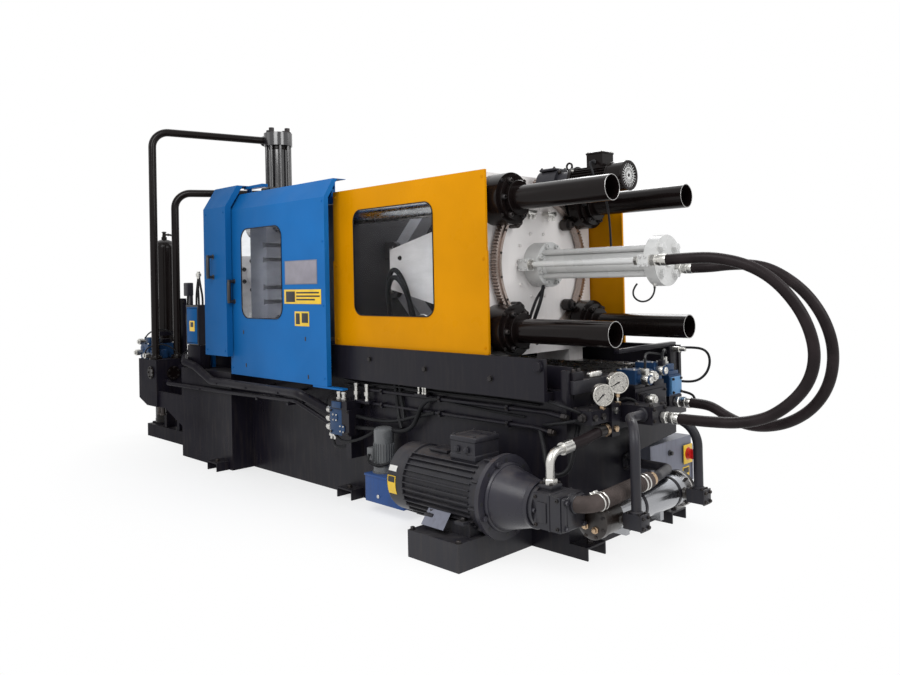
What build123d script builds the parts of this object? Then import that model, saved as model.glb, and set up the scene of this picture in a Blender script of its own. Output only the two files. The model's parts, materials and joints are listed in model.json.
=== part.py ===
from build123d import *
import math
import os

os.makedirs("parts", exist_ok=True)

# Cold chamber die casting machine. Millimetres, +Z up, +X from the injection end to the clamp end.
# The origin is on the floor, on the centre plane, under the die face of the fixed platen.
# The operator's side is -Y.

# Driving sizes of the clamp unit
axis_z = 1418.0                 # height of the clamp axis
bar_spacing = 700.0             # tie bars, centre to centre, both ways
bar_d = 108.0
bar_bore_gap = 1.0              # radial gap of a bar in a platen that slides
bar_edge = 110.0                # from a bar's centre to the platen's edge
platen_width = bar_spacing + 2 * bar_edge
platen_height = platen_width
fixed_thick = 220.0
moving_thick = 220.0
daylight = 670.0                # between the die faces with the clamp open
tail_front_x = 1870.0
tail_thick = 250.0
tail_width = platen_width + 90.0
tail_height = platen_height + 80.0
t_slot_neck = 28.0
t_slot_foot = 46.0
t_slot_depth = 52.0
t_slot_foot_depth = 22.0
t_slot_pitches = (100.0, 205.0)  # slot heights above and below the clamp axis
sleeve_bore_d = 130.0

# Toggle linkage
link_length = 500.0
link_open_deg = 45.0
toggle_pin_z = 130.0            # pins on the platen and the tailstock, above and below the axis
toggle_pin_x = 75.0             # pin centre behind the moving platen
pin_d = 70.0
pin_gap = 0.05                  # radial, in a bore that turns on the pin
open_pin_gap = 1.5              # radial, where the lower linkage meets the platen's pin
link_boss_r = 58.0
link_web = 84.0
link_thick = 60.0
link_side_gap = 5.0
ear_thick = 34.0
cheek_y = 252.0
cheek_thick = 24.0
cheek_nose_x = 1120.0
cheek_nose_h = 250.0
cheek_root_h = 600.0

# Height adjustment: ring gear and drive pinion
gear_module = 6.0
ring_teeth = 135
pinion_teeth = 14
gear_backlash = 2.0             # shared by both flanks, along the pitch circle
ring_addendum = 0.6             # in modules
pinion_addendum = 0.8
gear_dedendum = 1.1
pinion_shaft_r = 20.0
tooth_width = 34.0
ring_gap = 12.0                 # from the tailstock to the ring
ring_bore_r = 366.0
roller_r = 34.0
roller_gap = 0.4
roller_length = 46.0

# Nut covers and bar tubes
cover_d = 276.0
cover_length = 130.0
cover_flange_d = 236.0
cover_flange_t = 22.0
cover_collar_d = 172.0
cover_collar_t = 30.0
tube_d = 128.0
tube_wall = 5.0
tube_end_x = 2870.0

# Closing cylinder
barrel_d = 150.0
closing_base_d = 252.0
closing_base_t = 100.0
closing_end_d = 256.0
closing_end_t = 62.0
closing_end_x = 2952.0
closing_rod_d = 34.0
closing_rod_r = 92.0

# Base frame
base_half_w = 461.5
base_top_z = 790.0
base_left_x = -222.0
base_right_x = 2655.0
plate_t = 20.0
rail_y = 350.0
rail_w = 110.0
rail_h = 60.0
shoe_w = 130.0
slide_gap = 0.3
beam_y = base_half_w + 78.5
beam_inner_y = beam_y - 25.0
beam_left_x = 870.0
beam_right_x = base_right_x - 71.0
rear_beam_right_x = base_right_x + 53.0
beam_bottom_z = 745.0
beam_top_z = 950.0
foot_w = 150.0
foot_h = 62.0
foot_t = 9.0

# Injection end
inj_left_x = -997.0
inj_half_w = 637.0
inj_top_z = 700.0
low_left_x = -2070.0
low_y = 400.0
low_w = 90.0
low_h = 110.0

# Guards
guard_y = beam_y - 20.0
guard_left_x = 890.0
guard_right_x = 2205.0
rear_guard_right_x = 2360.0
guard_top_z = 1916.0
sheet = 3.0
guard_lip = 14.0
guard_window = (1095.0, 1806.0, 1140.0, 1783.0)
guard_corner = 68.0
glass_t = 4.0
glass_lap = 25.0

# Sliding doors
door_y = platen_width / 2 + 190.0
door_left_x = -190.0
door_right_x = 970.0
door_bottom_z = 703.0
door_knee_z = 1875.0
door_top_z = 1995.0
door_slant_y = door_y - 73.0
door_flange_y = platen_width / 2 + 18.0
door_window = (-25.0, 488.0, 1108.0, 1731.0)
door_corner = 80.0
door_travel = 850.0
narrow_y = door_y + 52.0
narrow_left_x = -470.0
narrow_right_x = -150.0
narrow_bottom_z = 832.0
narrow_knee_z = 1902.0
narrow_top_z = 2060.0
narrow_slant_y = door_y - 48.0
narrow_return = 43.0
narrow_travel = 280.0
rail_bar_y0 = -platen_width / 2 - 42.0
rail_bar_y1 = rail_bar_y0 + 34.0
rail_bar_z0 = 1850.0
rail_bar_z1 = 1890.0
rail_bar_left_x = -800.0
hanger_wheel_r = 34.0
hanger_wheel_t = 24.0
hanger_t = 8.0

# Pump set
motor_y = -base_half_w - 263.5
motor_front_x = base_right_x - 185.0
plinth_left_x = motor_front_x - 396.0
plinth_right_x = motor_front_x - 49.0
plinth_front_y = motor_y - 259.0
plinth_h = 132.0
shaft_height = 180.0
motor_r = 168.0
fin_h = 18.0
fin_t = 5.0
fin_count = 36
shield_l = 60.0
fin_run = 467.0
fan_cover_l = 115.0
fan_cover_r = 176.0
flange_r = 200.0
flange_t = 25.0
bell_length = 205.0
bell_big_r = 155.0
bell_small_r = 100.0
pump_length = 150.0
pump_w = 165.0
pump_h = 155.0
pump_port_in = 56.0             # port centre from the bellhousing's end
pump_port_h = 22.0
gauge_r = 52.0
gauge_t = 32.0

# Cooler and its pipes
cooler_x = base_right_x + 250.0
cooler_z = 256.0
cooler_r = 76.0
cooler_ports = (-500.0, 60.0)
pipe_r = 23.0

# Hoses
hose_r = 26.0
hose_fitting_r = 24.0
hose_fitting_l = 92.0
elbow_r = 21.0
pressure_r = 26.0
suction_r = 37.0
suction_pipe_r = 24.0
hose_offset_y = 155.0


def box(x0, x1, y0, y1, z0, z1):
    """A block between two corners."""
    size = (abs(x1 - x0), abs(y1 - y0), abs(z1 - z0))
    return Pos((x0 + x1) / 2, (y0 + y1) / 2, (z0 + z1) / 2) * Box(*size)


def rod_x(x0, x1, y, z, r):
    """A round bar along X."""
    return Pos((x0 + x1) / 2, y, z) * Rot(0, 90, 0) * Cylinder(r, abs(x1 - x0))


def rod_y(y0, y1, x, z, r):
    """A round bar along Y."""
    return Pos(x, (y0 + y1) / 2, z) * Rot(90, 0, 0) * Cylinder(r, abs(y1 - y0))


def rod_z(z0, z1, x, y, r):
    """A round bar along Z."""
    return Pos(x, y, (z0 + z1) / 2) * Cylinder(r, abs(z1 - z0))


def tube_x(x0, x1, y, z, outer, inner):
    """A round tube along X."""
    return rod_x(x0, x1, y, z, outer) - rod_x(x0 - 1, x1 + 1, y, z, inner)


def prism_y(points, y0, y1):
    """A solid with an outline in X and Z, between two Y planes."""
    face = make_face(Polyline(*[(x, y0, z) for x, z in points], close=True)).face()
    return Solid.extrude(face, Vector(0, y1 - y0, 0))


def prism_x(points, x0, x1):
    """A solid with an outline in Y and Z, between two X planes."""
    face = make_face(Polyline(*[(x0, y, z) for y, z in points], close=True)).face()
    return Solid.extrude(face, Vector(x1 - x0, 0, 0))


def pipe(points, radius, bend):
    """A bent round pipe through points, with one bend radius."""
    path = FilletPolyline(*points, radius=bend)
    start = Plane(origin=path @ 0, z_dir=path % 0)
    return sweep(start * Circle(radius), path=path)


def hose_radii(points):
    """The bend radius at each inner point of a hose: as large as its two runs allow."""
    radii = []
    for i in range(1, len(points) - 1):
        before = Vector(*points[i]) - Vector(*points[i - 1])
        after = Vector(*points[i + 1]) - Vector(*points[i])
        turn = math.radians(before.get_angle(after))
        shorter = min(before.length, after.length)
        radii.append(0.45 * shorter / math.tan(turn / 2))
    return radii


def hose(points, radius):
    """A free hose: straight runs joined by tangent arcs."""
    radii = hose_radii(points)
    path = FilletPolyline(*points, radius=radii)
    start = Plane(origin=path @ 0, z_dir=path % 0)
    solid = sweep(start * Circle(radius), path=path)
    share = solid.volume / (math.pi * radius ** 2 * path.length)
    print(f"hose: length {path.length:.0f}, smallest bend {min(radii):.0f}, volume share {share:.4f}")
    return solid


def write(name, *solids):
    """Write one node."""
    parts = []
    for item in solids:
        parts.extend(item.solids())
    export_step(Compound(children=parts), f"parts/{name}.step")


def mirror_y(shape):
    """The same piece on the other side of the centre plane."""
    return mirror(shape, about=Plane.XZ)


# Base frame

def base_side():
    """A side plate of the fabricated bed."""
    return box(base_left_x, base_right_x, -base_half_w, -base_half_w + plate_t, 0, base_top_z - plate_t)


side = base_side()
write("bed_side_plates", side, mirror_y(side))

inner_w = base_half_w - plate_t
bulkheads = [box(x - plate_t / 2, x + plate_t / 2, -inner_w, inner_w, 0, base_top_z - plate_t)
             for x in (0.0, 640.0, 1280.0, 1920.0)]
end_plate = box(base_right_x - plate_t, base_right_x, -inner_w, inner_w, 0, base_top_z - plate_t)
left_plate = box(base_left_x, base_left_x + plate_t, -inner_w, inner_w, 0, base_top_z - plate_t)
deck = box(base_left_x, base_right_x, -base_half_w, base_half_w, base_top_z - plate_t, base_top_z)
write("bed_frame", deck + bulkheads + end_plate + left_plate)

rail_z1 = base_top_z + rail_h


def slide_rail(y):
    """A bed rail that the platens rest on."""
    return box(base_left_x, base_right_x - 120, y - rail_w / 2, y + rail_w / 2, base_top_z, rail_z1)


write("slide_rails", slide_rail(rail_y), slide_rail(-rail_y))


def side_beam(right_x):
    """The beam along the bed, with a round boss at its end."""
    outline = [(-beam_y, beam_bottom_z), (-base_half_w, beam_bottom_z), (-base_half_w, base_top_z - 5),
               (-beam_inner_y, base_top_z - 5), (-beam_inner_y, beam_top_z), (-beam_y, beam_top_z)]
    beam = prism_x(outline, beam_left_x, right_x)
    boss = rod_y(-beam_y - 14, -beam_y + 2, right_x - 32, beam_top_z - 36, 28)
    return beam + boss


write("side_beams", side_beam(beam_right_x), mirror_y(side_beam(rear_beam_right_x)))


def channel(x0, x1, y0, y1, along_x):
    """An inverted channel on the floor."""
    solid = box(x0, x1, y0, y1, 0, foot_h)
    if along_x:
        return solid - box(x0 - 1, x1 + 1, y0 + foot_t, y1 - foot_t, -1, foot_h - foot_t)
    return solid - box(x0 + foot_t, x1 - foot_t, y0 - 1, y1 + 1, -1, foot_h - foot_t)


mid_foot = channel(920, 920 + foot_w, -base_half_w - 93, -base_half_w, False)
end_foot = channel(base_right_x, base_right_x + 105, -base_half_w, -base_half_w + foot_w, True)
inj_foot = channel(-410, -270, -inj_half_w - 98, -inj_half_w, False)
feet = [mid_foot, end_foot, inj_foot]

# Injection end

inj_box = box(inj_left_x, base_left_x, -inj_half_w, inj_half_w, 0, inj_top_z)
inj_room = box(inj_left_x + plate_t, base_left_x - plate_t, -inj_half_w + plate_t, inj_half_w - plate_t,
               -1, inj_top_z - plate_t)
splash = box(inj_left_x + 100, base_left_x - 10, -430, -418, inj_top_z - 1, inj_top_z + 165)
write("injection_base", inj_box - inj_room + splash)


def low_channel(y):
    """A low beam under the accumulator stand."""
    return box(low_left_x, inj_left_x, y - low_w / 2, y + low_w / 2, 0, low_h)


low_cross = box(low_left_x, low_left_x + low_w, -low_y + low_w / 2, low_y - low_w / 2, 0, low_h)
bottle_x = -1978.0
bottle_y = -304.0
bottle_r = 97.0
bottle_plate = box(low_left_x, bottle_x + bottle_r, -low_y, bottle_y + bottle_r, low_h, low_h + 12)
stand_beams = low_channel(-low_y) + low_channel(low_y) + low_cross + bottle_plate
write("floor_feet", stand_beams, *feet, *[mirror_y(foot) for foot in feet])

# Platens

platen_z0 = axis_z - platen_height / 2
platen_z1 = axis_z + platen_height / 2
bar_half = bar_spacing / 2
bar_spots = [(sy * bar_half, axis_z + sz * bar_half) for sy in (-1, 1) for sz in (1, -1)]


def t_slots(face_x, inward):
    """Cutters for the horizontal T slots of a die face."""
    cuts = []
    for pitch in t_slot_pitches:
        for sign in (-1, 1):
            z = axis_z + sign * pitch
            deep = face_x + inward * t_slot_depth
            foot = face_x + inward * (t_slot_depth - t_slot_foot_depth)
            cuts.append(box(face_x - inward, deep, -platen_width, platen_width,
                            z - t_slot_neck / 2, z + t_slot_neck / 2))
            cuts.append(box(foot, deep, -platen_width, platen_width,
                            z - t_slot_foot / 2, z + t_slot_foot / 2))
    return cuts


def platen(x0, x1, z_low, bore_r):
    """A platen block with four bores."""
    block = box(x0, x1, -platen_width / 2, platen_width / 2, platen_z0, platen_z1)
    block = chamfer(block.edges().filter_by(Axis.X), 30)
    for y, z in bar_spots:
        block -= rod_x(x0 - 1, x1 + 1, y, z, bore_r)
    for y in (-rail_y, rail_y):
        block += box(x0, x1, y - shoe_w / 2, y + shoe_w / 2, z_low, platen_z0 + 1)
    return block


fixed = platen(-fixed_thick, 0, rail_z1, bar_d / 2)
for cutter in t_slots(0.0, -1):
    fixed -= cutter
fixed -= rod_x(-fixed_thick - 1, 1, 0, axis_z, sleeve_bore_d / 2)
write("fixed_platen", fixed)

moving_x0 = daylight
moving_x1 = daylight + moving_thick
moving = platen(moving_x0, moving_x1, rail_z1 + slide_gap, bar_d / 2 + bar_bore_gap)
for cutter in t_slots(moving_x0, 1):
    moving -= cutter

pin_b_x = moving_x1 + toggle_pin_x
pin_a_x = pin_b_x + 2 * link_length * math.cos(math.radians(link_open_deg))
elbow_x = (pin_a_x + pin_b_x) / 2
elbow_dz = link_length * math.sin(math.radians(link_open_deg))


def ear(x_root, x_pin, z, y0, y1):
    """A lug with a round nose, from a root face to a pin."""
    body = box(x_root, x_pin, y0, y1, z - link_boss_r, z + link_boss_r)
    return body + rod_y(y0, y1, x_pin, z, link_boss_r)


front_link_y = 58.0             # half width of the single front link
ear_y0 = front_link_y + link_side_gap
rear_y0 = ear_y0
rear_y1 = rear_y0 + link_thick
tail_ear_y0 = rear_y1 + link_side_gap
tail_ear_y1 = tail_ear_y0 + ear_thick

for sz in (1, -1):
    z = axis_z + sz * toggle_pin_z
    for sy in (1, -1):
        y0 = sy * ear_y0
        y1 = sy * (ear_y0 + ear_thick)
        moving += ear(moving_x1 - 1, pin_b_x, z, min(y0, y1), max(y0, y1))
    moving += rod_y(-ear_y0 - ear_thick - 6, ear_y0 + ear_thick + 6, pin_b_x, z, pin_d / 2)
write("moving_platen", moving)

# Tailstock

tail_back_x = tail_front_x + tail_thick
tail_z0 = axis_z - tail_height / 2
tail_z1 = axis_z + tail_height / 2
tail = box(tail_front_x, tail_back_x, -tail_width / 2, tail_width / 2, tail_z0, tail_z1)
tail = chamfer(tail.edges().filter_by(Axis.X), 30)
for y, z in bar_spots:
    tail -= rod_x(tail_front_x - 1, tail_back_x + 1, y, z, bar_d / 2 + bar_bore_gap)
for y in (-rail_y, rail_y):
    tail += box(tail_front_x, tail_back_x, y - shoe_w / 2, y + shoe_w / 2, rail_z1, tail_z0 + 1)
for sz in (1, -1):
    z = axis_z + sz * toggle_pin_z
    for sy in (1, -1):
        y0 = sy * tail_ear_y0
        y1 = sy * tail_ear_y1
        tail += ear(tail_front_x + 1, pin_a_x, z, min(y0, y1), max(y0, y1))
    tail += rod_y(-tail_ear_y1 - 6, tail_ear_y1 + 6, pin_a_x, z, pin_d / 2)
write("tailstock", tail)


def cheek():
    """A tapered side cheek of the toggle frame."""
    outline = [(cheek_nose_x, axis_z - cheek_nose_h / 2), (tail_front_x, axis_z - cheek_root_h / 2),
               (tail_front_x, axis_z + cheek_root_h / 2), (cheek_nose_x, axis_z + cheek_nose_h / 2)]
    return prism_y(outline, -cheek_y, -cheek_y + cheek_thick)


side_cheek = cheek()
write("toggle_cheeks", side_cheek, mirror_y(side_cheek))

# Links. The pin at the elbow belongs to the rear links.

def link(x0, z0, x1, z1, y0, y1, bore0, bore1):
    """A link with two round ends."""
    length = math.hypot(x1 - x0, z1 - z0)
    angle = math.degrees(math.atan2(z1 - z0, x1 - x0))
    web = Pos(length / 2, 0, 0) * Box(length, y1 - y0, link_web)
    ends = Rot(90, 0, 0) * Cylinder(link_boss_r, y1 - y0) + Pos(length, 0, 0) * Rot(90, 0, 0) * Cylinder(
        link_boss_r, y1 - y0)
    solid = web + ends
    if bore0:
        solid -= Rot(90, 0, 0) * Cylinder(bore0, y1 - y0 + 2)
    if bore1:
        solid -= Pos(length, 0, 0) * Rot(90, 0, 0) * Cylinder(bore1, y1 - y0 + 2)
    return Pos(x0, (y0 + y1) / 2, z0) * Rot(0, -angle, 0) * solid


running = pin_d / 2 + pin_gap
for name, sz in (("top", 1), ("bottom", -1)):
    z_pin = axis_z + sz * toggle_pin_z
    z_elbow = z_pin + sz * elbow_dz
    rear = [link(pin_a_x, z_pin, elbow_x, z_elbow, y0, y0 + link_thick, running, pin_d / 2)
            for y0 in (rear_y0, -rear_y1)]
    elbow_pin = rod_y(-rear_y1, rear_y1, elbow_x, z_elbow, pin_d / 2)
    write(f"rear_links_{name}", rear[0] + rear[1] + elbow_pin)
    platen_bore = running if sz > 0 else pin_d / 2 + open_pin_gap
    front = link(elbow_x, z_elbow, pin_b_x, z_pin, -front_link_y, front_link_y, running, platen_bore)
    write(f"front_link_{name}", front)

# Tie bars

bar_left_x = -fixed_thick - 120
cover_x1 = tail_back_x + cover_length
bars = []
for y, z in bar_spots:
    bar = rod_x(bar_left_x, cover_x1 - 45, y, z, bar_d / 2)
    nut = rod_x(bar_left_x + 20, -fixed_thick, y, z, 90) - rod_x(
        bar_left_x, -fixed_thick + 1, y, z, bar_d / 2)
    bars.append(bar + nut)
write("tie_bars", *bars)

# Gears

ring_r = gear_module * ring_teeth / 2
pinion_r = gear_module * pinion_teeth / 2
gear_x0 = tail_back_x + ring_gap
gear_x1 = gear_x0 + tooth_width


def gear_outline(teeth, addendum, phase_deg):
    """A spur gear's outline, with straight flanks and backlash, in the plane of Y and Z."""
    pitch_r = gear_module * teeth / 2
    tip_r = pitch_r + addendum * gear_module
    root_r = pitch_r - gear_dedendum * gear_module
    half_pitch = math.pi * gear_module / 4 - gear_backlash / 4
    slope = math.tan(math.radians(20))
    points = []
    for i in range(teeth):
        middle = math.radians(phase_deg) + 2 * math.pi * i / teeth
        for r, side_sign in ((root_r, -1), (tip_r, -1), (tip_r, 1), (root_r, 1)):
            half = half_pitch - (r - pitch_r) * slope
            angle = middle + side_sign * half / r
            points.append((r * math.cos(angle), r * math.sin(angle)))
    return points


def gear_solid(teeth, addendum, phase_deg, z):
    """A spur gear about an axis along X on the centre plane."""
    outline = [(y, z + up) for y, up in gear_outline(teeth, addendum, phase_deg)]
    return prism_x(outline, gear_x0, gear_x1)


ring = gear_solid(ring_teeth, ring_addendum, 0.0, axis_z)
race = rod_x(gear_x1, gear_x1 + 8, 0, axis_z, ring_bore_r + 16)
write("ring_gear", ring + race - rod_x(gear_x0 - 1, gear_x1 + 9, 0, axis_z, ring_bore_r))


def mesh_phase(follower_teeth, at_deg):
    """The phase that puts a follower's tooth space where a tooth of the ring points at it."""
    off = at_deg * ring_teeth / 360.0
    off -= math.floor(off)
    own_pitch = 360.0 / follower_teeth
    return at_deg + 180.0 + own_pitch / 2 + off * own_pitch


pinion_z = axis_z + ring_r + pinion_r
pinion = gear_solid(pinion_teeth, pinion_addendum, mesh_phase(pinion_teeth, 90.0), pinion_z)
pinion_shaft = rod_x(gear_x0, gear_x1 + 60, 0, pinion_z, pinion_shaft_r)
write("drive_pinion", pinion + pinion_shaft)

# Guide rollers of the ring

roller_pitch = ring_bore_r - roller_gap - roller_r
rollers = []
for at in (45, 135, 225, 315):
    y = roller_pitch * math.cos(math.radians(at))
    z = axis_z + roller_pitch * math.sin(math.radians(at))
    wheel = rod_x(gear_x0, gear_x0 + roller_length, y, z, roller_r)
    spindle = rod_x(tail_back_x, gear_x0 + roller_length + 14, y, z, 13)
    rollers.append(wheel + spindle)
write("ring_rollers", *rollers)

# Nut covers with their tubes

ring_window_r = ring_r + gear_module + 8
covers = []
for y, z in bar_spots:
    drum = rod_x(tail_back_x, cover_x1, y, z, cover_d / 2)
    step = rod_x(cover_x1, cover_x1 + cover_flange_t, y, z, cover_flange_d / 2)
    collar = rod_x(cover_x1, cover_x1 + cover_flange_t + cover_collar_t, y, z, cover_collar_d / 2)
    window = rod_x(tail_back_x - 1, gear_x1 + 20, 0, axis_z, ring_window_r)
    cover = drum + step + collar - window
    covers.append(cover - rod_x(tail_back_x - 1, tube_end_x, y, z, tube_d / 2))
write("nut_covers", *covers)
tubes = [tube_x(cover_x1 - 40, tube_end_x, y, z, tube_d / 2, tube_d / 2 - tube_wall) for y, z in bar_spots]
write("bar_tubes", *tubes)

# Height adjustment drive

drive_x0 = gear_x1 + 20
drive_r = 80.0
gearbox = rod_x(drive_x0, drive_x0 + 130, 0, pinion_z, drive_r) + box(
    drive_x0, drive_x0 + 130, -drive_r, drive_r, pinion_z - drive_r, pinion_z) - rod_x(
    drive_x0 - 1, drive_x0 + 42, 0, pinion_z, pinion_shaft_r + pin_gap)
neck = rod_x(drive_x0 + 130, drive_x0 + 215, 0, pinion_z, 60)
drive_motor_x0 = drive_x0 + 215
motor_small = rod_x(drive_motor_x0, drive_motor_x0 + 20, 0, pinion_z, 80) + rod_x(
    drive_motor_x0 + 20, drive_motor_x0 + 240, 0, pinion_z, 68) + rod_x(
    drive_motor_x0 + 240, drive_motor_x0 + 338, 0, pinion_z, drive_r - 2)
small_box = box(drive_motor_x0 + 112, drive_motor_x0 + 212, -50, 50, pinion_z + 50, pinion_z + 130)
write("height_motor", motor_small + small_box)
shelf = box(tail_back_x, drive_x0 + 210, -130, 130, pinion_z - drive_r - 16, pinion_z - drive_r)
shelf -= rod_x(tail_back_x - 1, gear_x1 + 20, 0, axis_z, ring_window_r)
write("height_gearbox", gearbox + neck + shelf)

# Closing cylinder

cyl_x0 = tail_back_x
base_end = rod_x(cyl_x0, cyl_x0 + closing_base_t, 0, axis_z, closing_base_d / 2)
barrel = rod_x(cyl_x0 + closing_base_t, closing_end_x - closing_end_t, 0, axis_z, barrel_d / 2)
end_cap = rod_x(closing_end_x - closing_end_t, closing_end_x, 0, axis_z, closing_end_d / 2)
rods = []
for at in (45, 135, 225, 315):
    y = closing_rod_r * math.cos(math.radians(at))
    z = axis_z + closing_rod_r * math.sin(math.radians(at))
    rods.append(rod_x(cyl_x0 + closing_base_t, closing_end_x - closing_end_t, y, z, closing_rod_d / 2 - 2))
port_y = -closing_end_d / 2 - 30
rear_block = box(cyl_x0 + 10, cyl_x0 + 78, -closing_base_d / 2 - 52, -closing_base_d / 2 + 4,
                 axis_z - 34, axis_z + 34) - rod_x(cyl_x0, cyl_x0 + 90, 0, axis_z, closing_base_d / 2)
front_block = box(closing_end_x - closing_end_t, closing_end_x - 4, -closing_end_d / 2 - 52,
                  -closing_end_d / 2 + 20, axis_z - 30, axis_z + 30)
write("closing_cylinder_heads", base_end + rear_block, end_cap + front_block + mirror_y(front_block))
port_pipe = rod_x(cyl_x0 + 78, closing_end_x - closing_end_t, port_y + 4, axis_z, 16)
write("closing_cylinder_barrel", barrel, port_pipe, *rods)

# Yellow guard panels

def rounded_window(x0, x1, z0, z1, y0, y1, corner):
    """A block with round corners, as the cutter or the glass of a window."""
    block = box(x0, x1, y0, y1, z0, z1)
    return fillet(block.edges().filter_by(Axis.Y), corner)


def guard_panel(right_x):
    """A folded sheet guard that stands on a side beam."""
    outer = box(guard_left_x, right_x, -guard_y, -guard_y + guard_lip, beam_top_z, guard_top_z)
    inner = box(guard_left_x + sheet, right_x - sheet, -guard_y + sheet, -guard_y + guard_lip + 1,
                beam_top_z + sheet, guard_top_z - sheet)
    x0, x1, z0, z1 = guard_window
    return outer - inner - rounded_window(x0, x1, z0, z1, -guard_y - 1, -guard_y + sheet + 1, guard_corner)


write("guard_panels", guard_panel(guard_right_x), mirror_y(guard_panel(rear_guard_right_x)))
x0, x1, z0, z1 = guard_window
glass = rounded_window(x0 - glass_lap, x1 + glass_lap, z0 - glass_lap, z1 + glass_lap,
                       -guard_y + sheet, -guard_y + sheet + glass_t, guard_corner + glass_lap)
write("guard_windows", glass, mirror_y(glass))

# Sliding doors on the operator's side

def door_sheet(left, right, y_face, z_bottom, z_knee, y_slant, z_top, y_flange):
    """A door sheet with a slanted top, folded from one plate."""
    profile = [(-y_face, z_bottom), (-y_face, z_knee), (-y_slant, z_top), (-y_flange, z_top),
               (-y_flange, z_top - sheet), (-y_slant + sheet * 0.6, z_top - sheet),
               (-y_face + sheet, z_knee - sheet * 0.3), (-y_face + sheet, z_bottom)]
    return prism_x(profile, left, right)


def door_return(x0, x1, y_face, z_bottom, z_knee, y_slant, z_top, depth):
    """The folded edge at the side of a door."""
    profile = [(-y_face + sheet, z_bottom), (-y_face + sheet, z_knee - sheet * 0.3),
               (-y_slant + sheet * 0.6, z_top - sheet), (-y_slant + sheet * 0.6 + depth, z_top - sheet),
               (-y_face + sheet + depth, z_knee - sheet), (-y_face + sheet + depth, z_bottom)]
    return prism_x(profile, x0, x1)


def wide_door():
    """The wide sliding door."""
    args = (door_y, door_bottom_z, door_knee_z, door_slant_y, door_top_z)
    solid = door_sheet(door_left_x, door_right_x, *args, door_flange_y)
    solid += door_return(door_left_x, door_left_x + sheet, *args, 30)
    solid += door_return(door_right_x - sheet, door_right_x, *args, 30)
    x0, x1, z0, z1 = door_window
    solid -= rounded_window(x0, x1, z0, z1, -door_y - 1, -door_y + sheet + 1, door_corner)
    for x in (door_left_x + 200, door_right_x - 160):
        solid += hanger(x, door_top_z)
    solid += box(door_right_x - 155, door_right_x + 150, -door_y + sheet, -door_y + sheet + 40,
                 door_bottom_z - 14, door_bottom_z - 4) + box(
        door_right_x - 155, door_right_x - 3, -door_y + sheet, -door_y + sheet + 6,
        door_bottom_z - 14, door_bottom_z + 30)
    return solid


wheel_z = rail_bar_z1 + hanger_wheel_r + slide_gap
wheel_y = (rail_bar_y0 + rail_bar_y1) / 2


def hanger(x, top_z):
    """A hanger under a door's top flange, with its rail wheel."""
    plate_y = wheel_y + hanger_wheel_t / 2 + 3
    plate = box(x - 28, x + 28, plate_y, plate_y + hanger_t, wheel_z - 20, top_z - sheet)
    arm = box(x - 28, x + 28, -door_flange_y - 40, plate_y + hanger_t, top_z - sheet - hanger_t, top_z - sheet)
    wheel = rod_y(wheel_y - hanger_wheel_t / 2, wheel_y + hanger_wheel_t / 2, x, wheel_z, hanger_wheel_r)
    return plate + arm + wheel + rod_y(wheel_y, plate_y + 1, x, wheel_z, 8)


write("front_door", wide_door())
x0, x1, z0, z1 = door_window
write("front_door_window", rounded_window(
    x0 - glass_lap, x1 + glass_lap, z0 - glass_lap, z1 + glass_lap,
    -door_y + sheet, -door_y + sheet + glass_t, door_corner + glass_lap))


def handle(x, z0, z1, y_face, reach_y, r):
    """A bow handle on a door."""
    top = rod_y(y_face - reach_y, y_face, x, z1 - r, r)
    bottom = rod_y(y_face - reach_y, y_face, x, z0 + r, r)
    grip = rod_z(z0, z1, x, y_face - reach_y, r)
    return top + bottom + grip


write("front_door_handle", handle(-130, 1212, 1378, -door_y, 42, 11))


def narrow_door():
    """The narrow sliding door beside the wide one."""
    args = (narrow_y, narrow_bottom_z, narrow_knee_z, narrow_slant_y, narrow_top_z)
    solid = door_sheet(narrow_left_x, narrow_right_x, *args, door_flange_y)
    solid += door_return(narrow_left_x, narrow_left_x + sheet, *args, 30)
    solid += door_return(narrow_right_x - sheet, narrow_right_x, *args, narrow_return)
    solid += box(narrow_right_x - 40, narrow_right_x + 210, -door_flange_y - 45, -door_flange_y,
                 narrow_top_z - 24, narrow_top_z - sheet)
    for x in (narrow_left_x + 60, narrow_right_x - 60):
        solid += hanger(x, narrow_top_z)
    return solid


write("narrow_door", narrow_door())
write("narrow_door_handle", handle(-335, 1390, 1560, -narrow_y, 42, 11))

rail_bar = box(rail_bar_left_x, tail_front_x, rail_bar_y0, rail_bar_y1, rail_bar_z0, rail_bar_z1)
rail_pad = box(-fixed_thick + 40, -40, rail_bar_y0, -platen_width / 2, rail_bar_z0 - 60, rail_bar_z0)
rail_post = box(rail_bar_left_x, rail_bar_left_x + 40, rail_bar_y0, rail_bar_y1, inj_top_z, rail_bar_z0)
write("door_rail", rail_bar + rail_post + rail_pad)

# Pump set

motor_z = plinth_h + shaft_height
plinth = box(plinth_left_x, plinth_right_x, plinth_front_y, -base_half_w, 0, plinth_h)
plinth -= box(plinth_left_x + 12, plinth_right_x - 12, plinth_front_y + 12, -base_half_w - 12, -1, plinth_h - 12)
write("motor_plinth", plinth)

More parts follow.
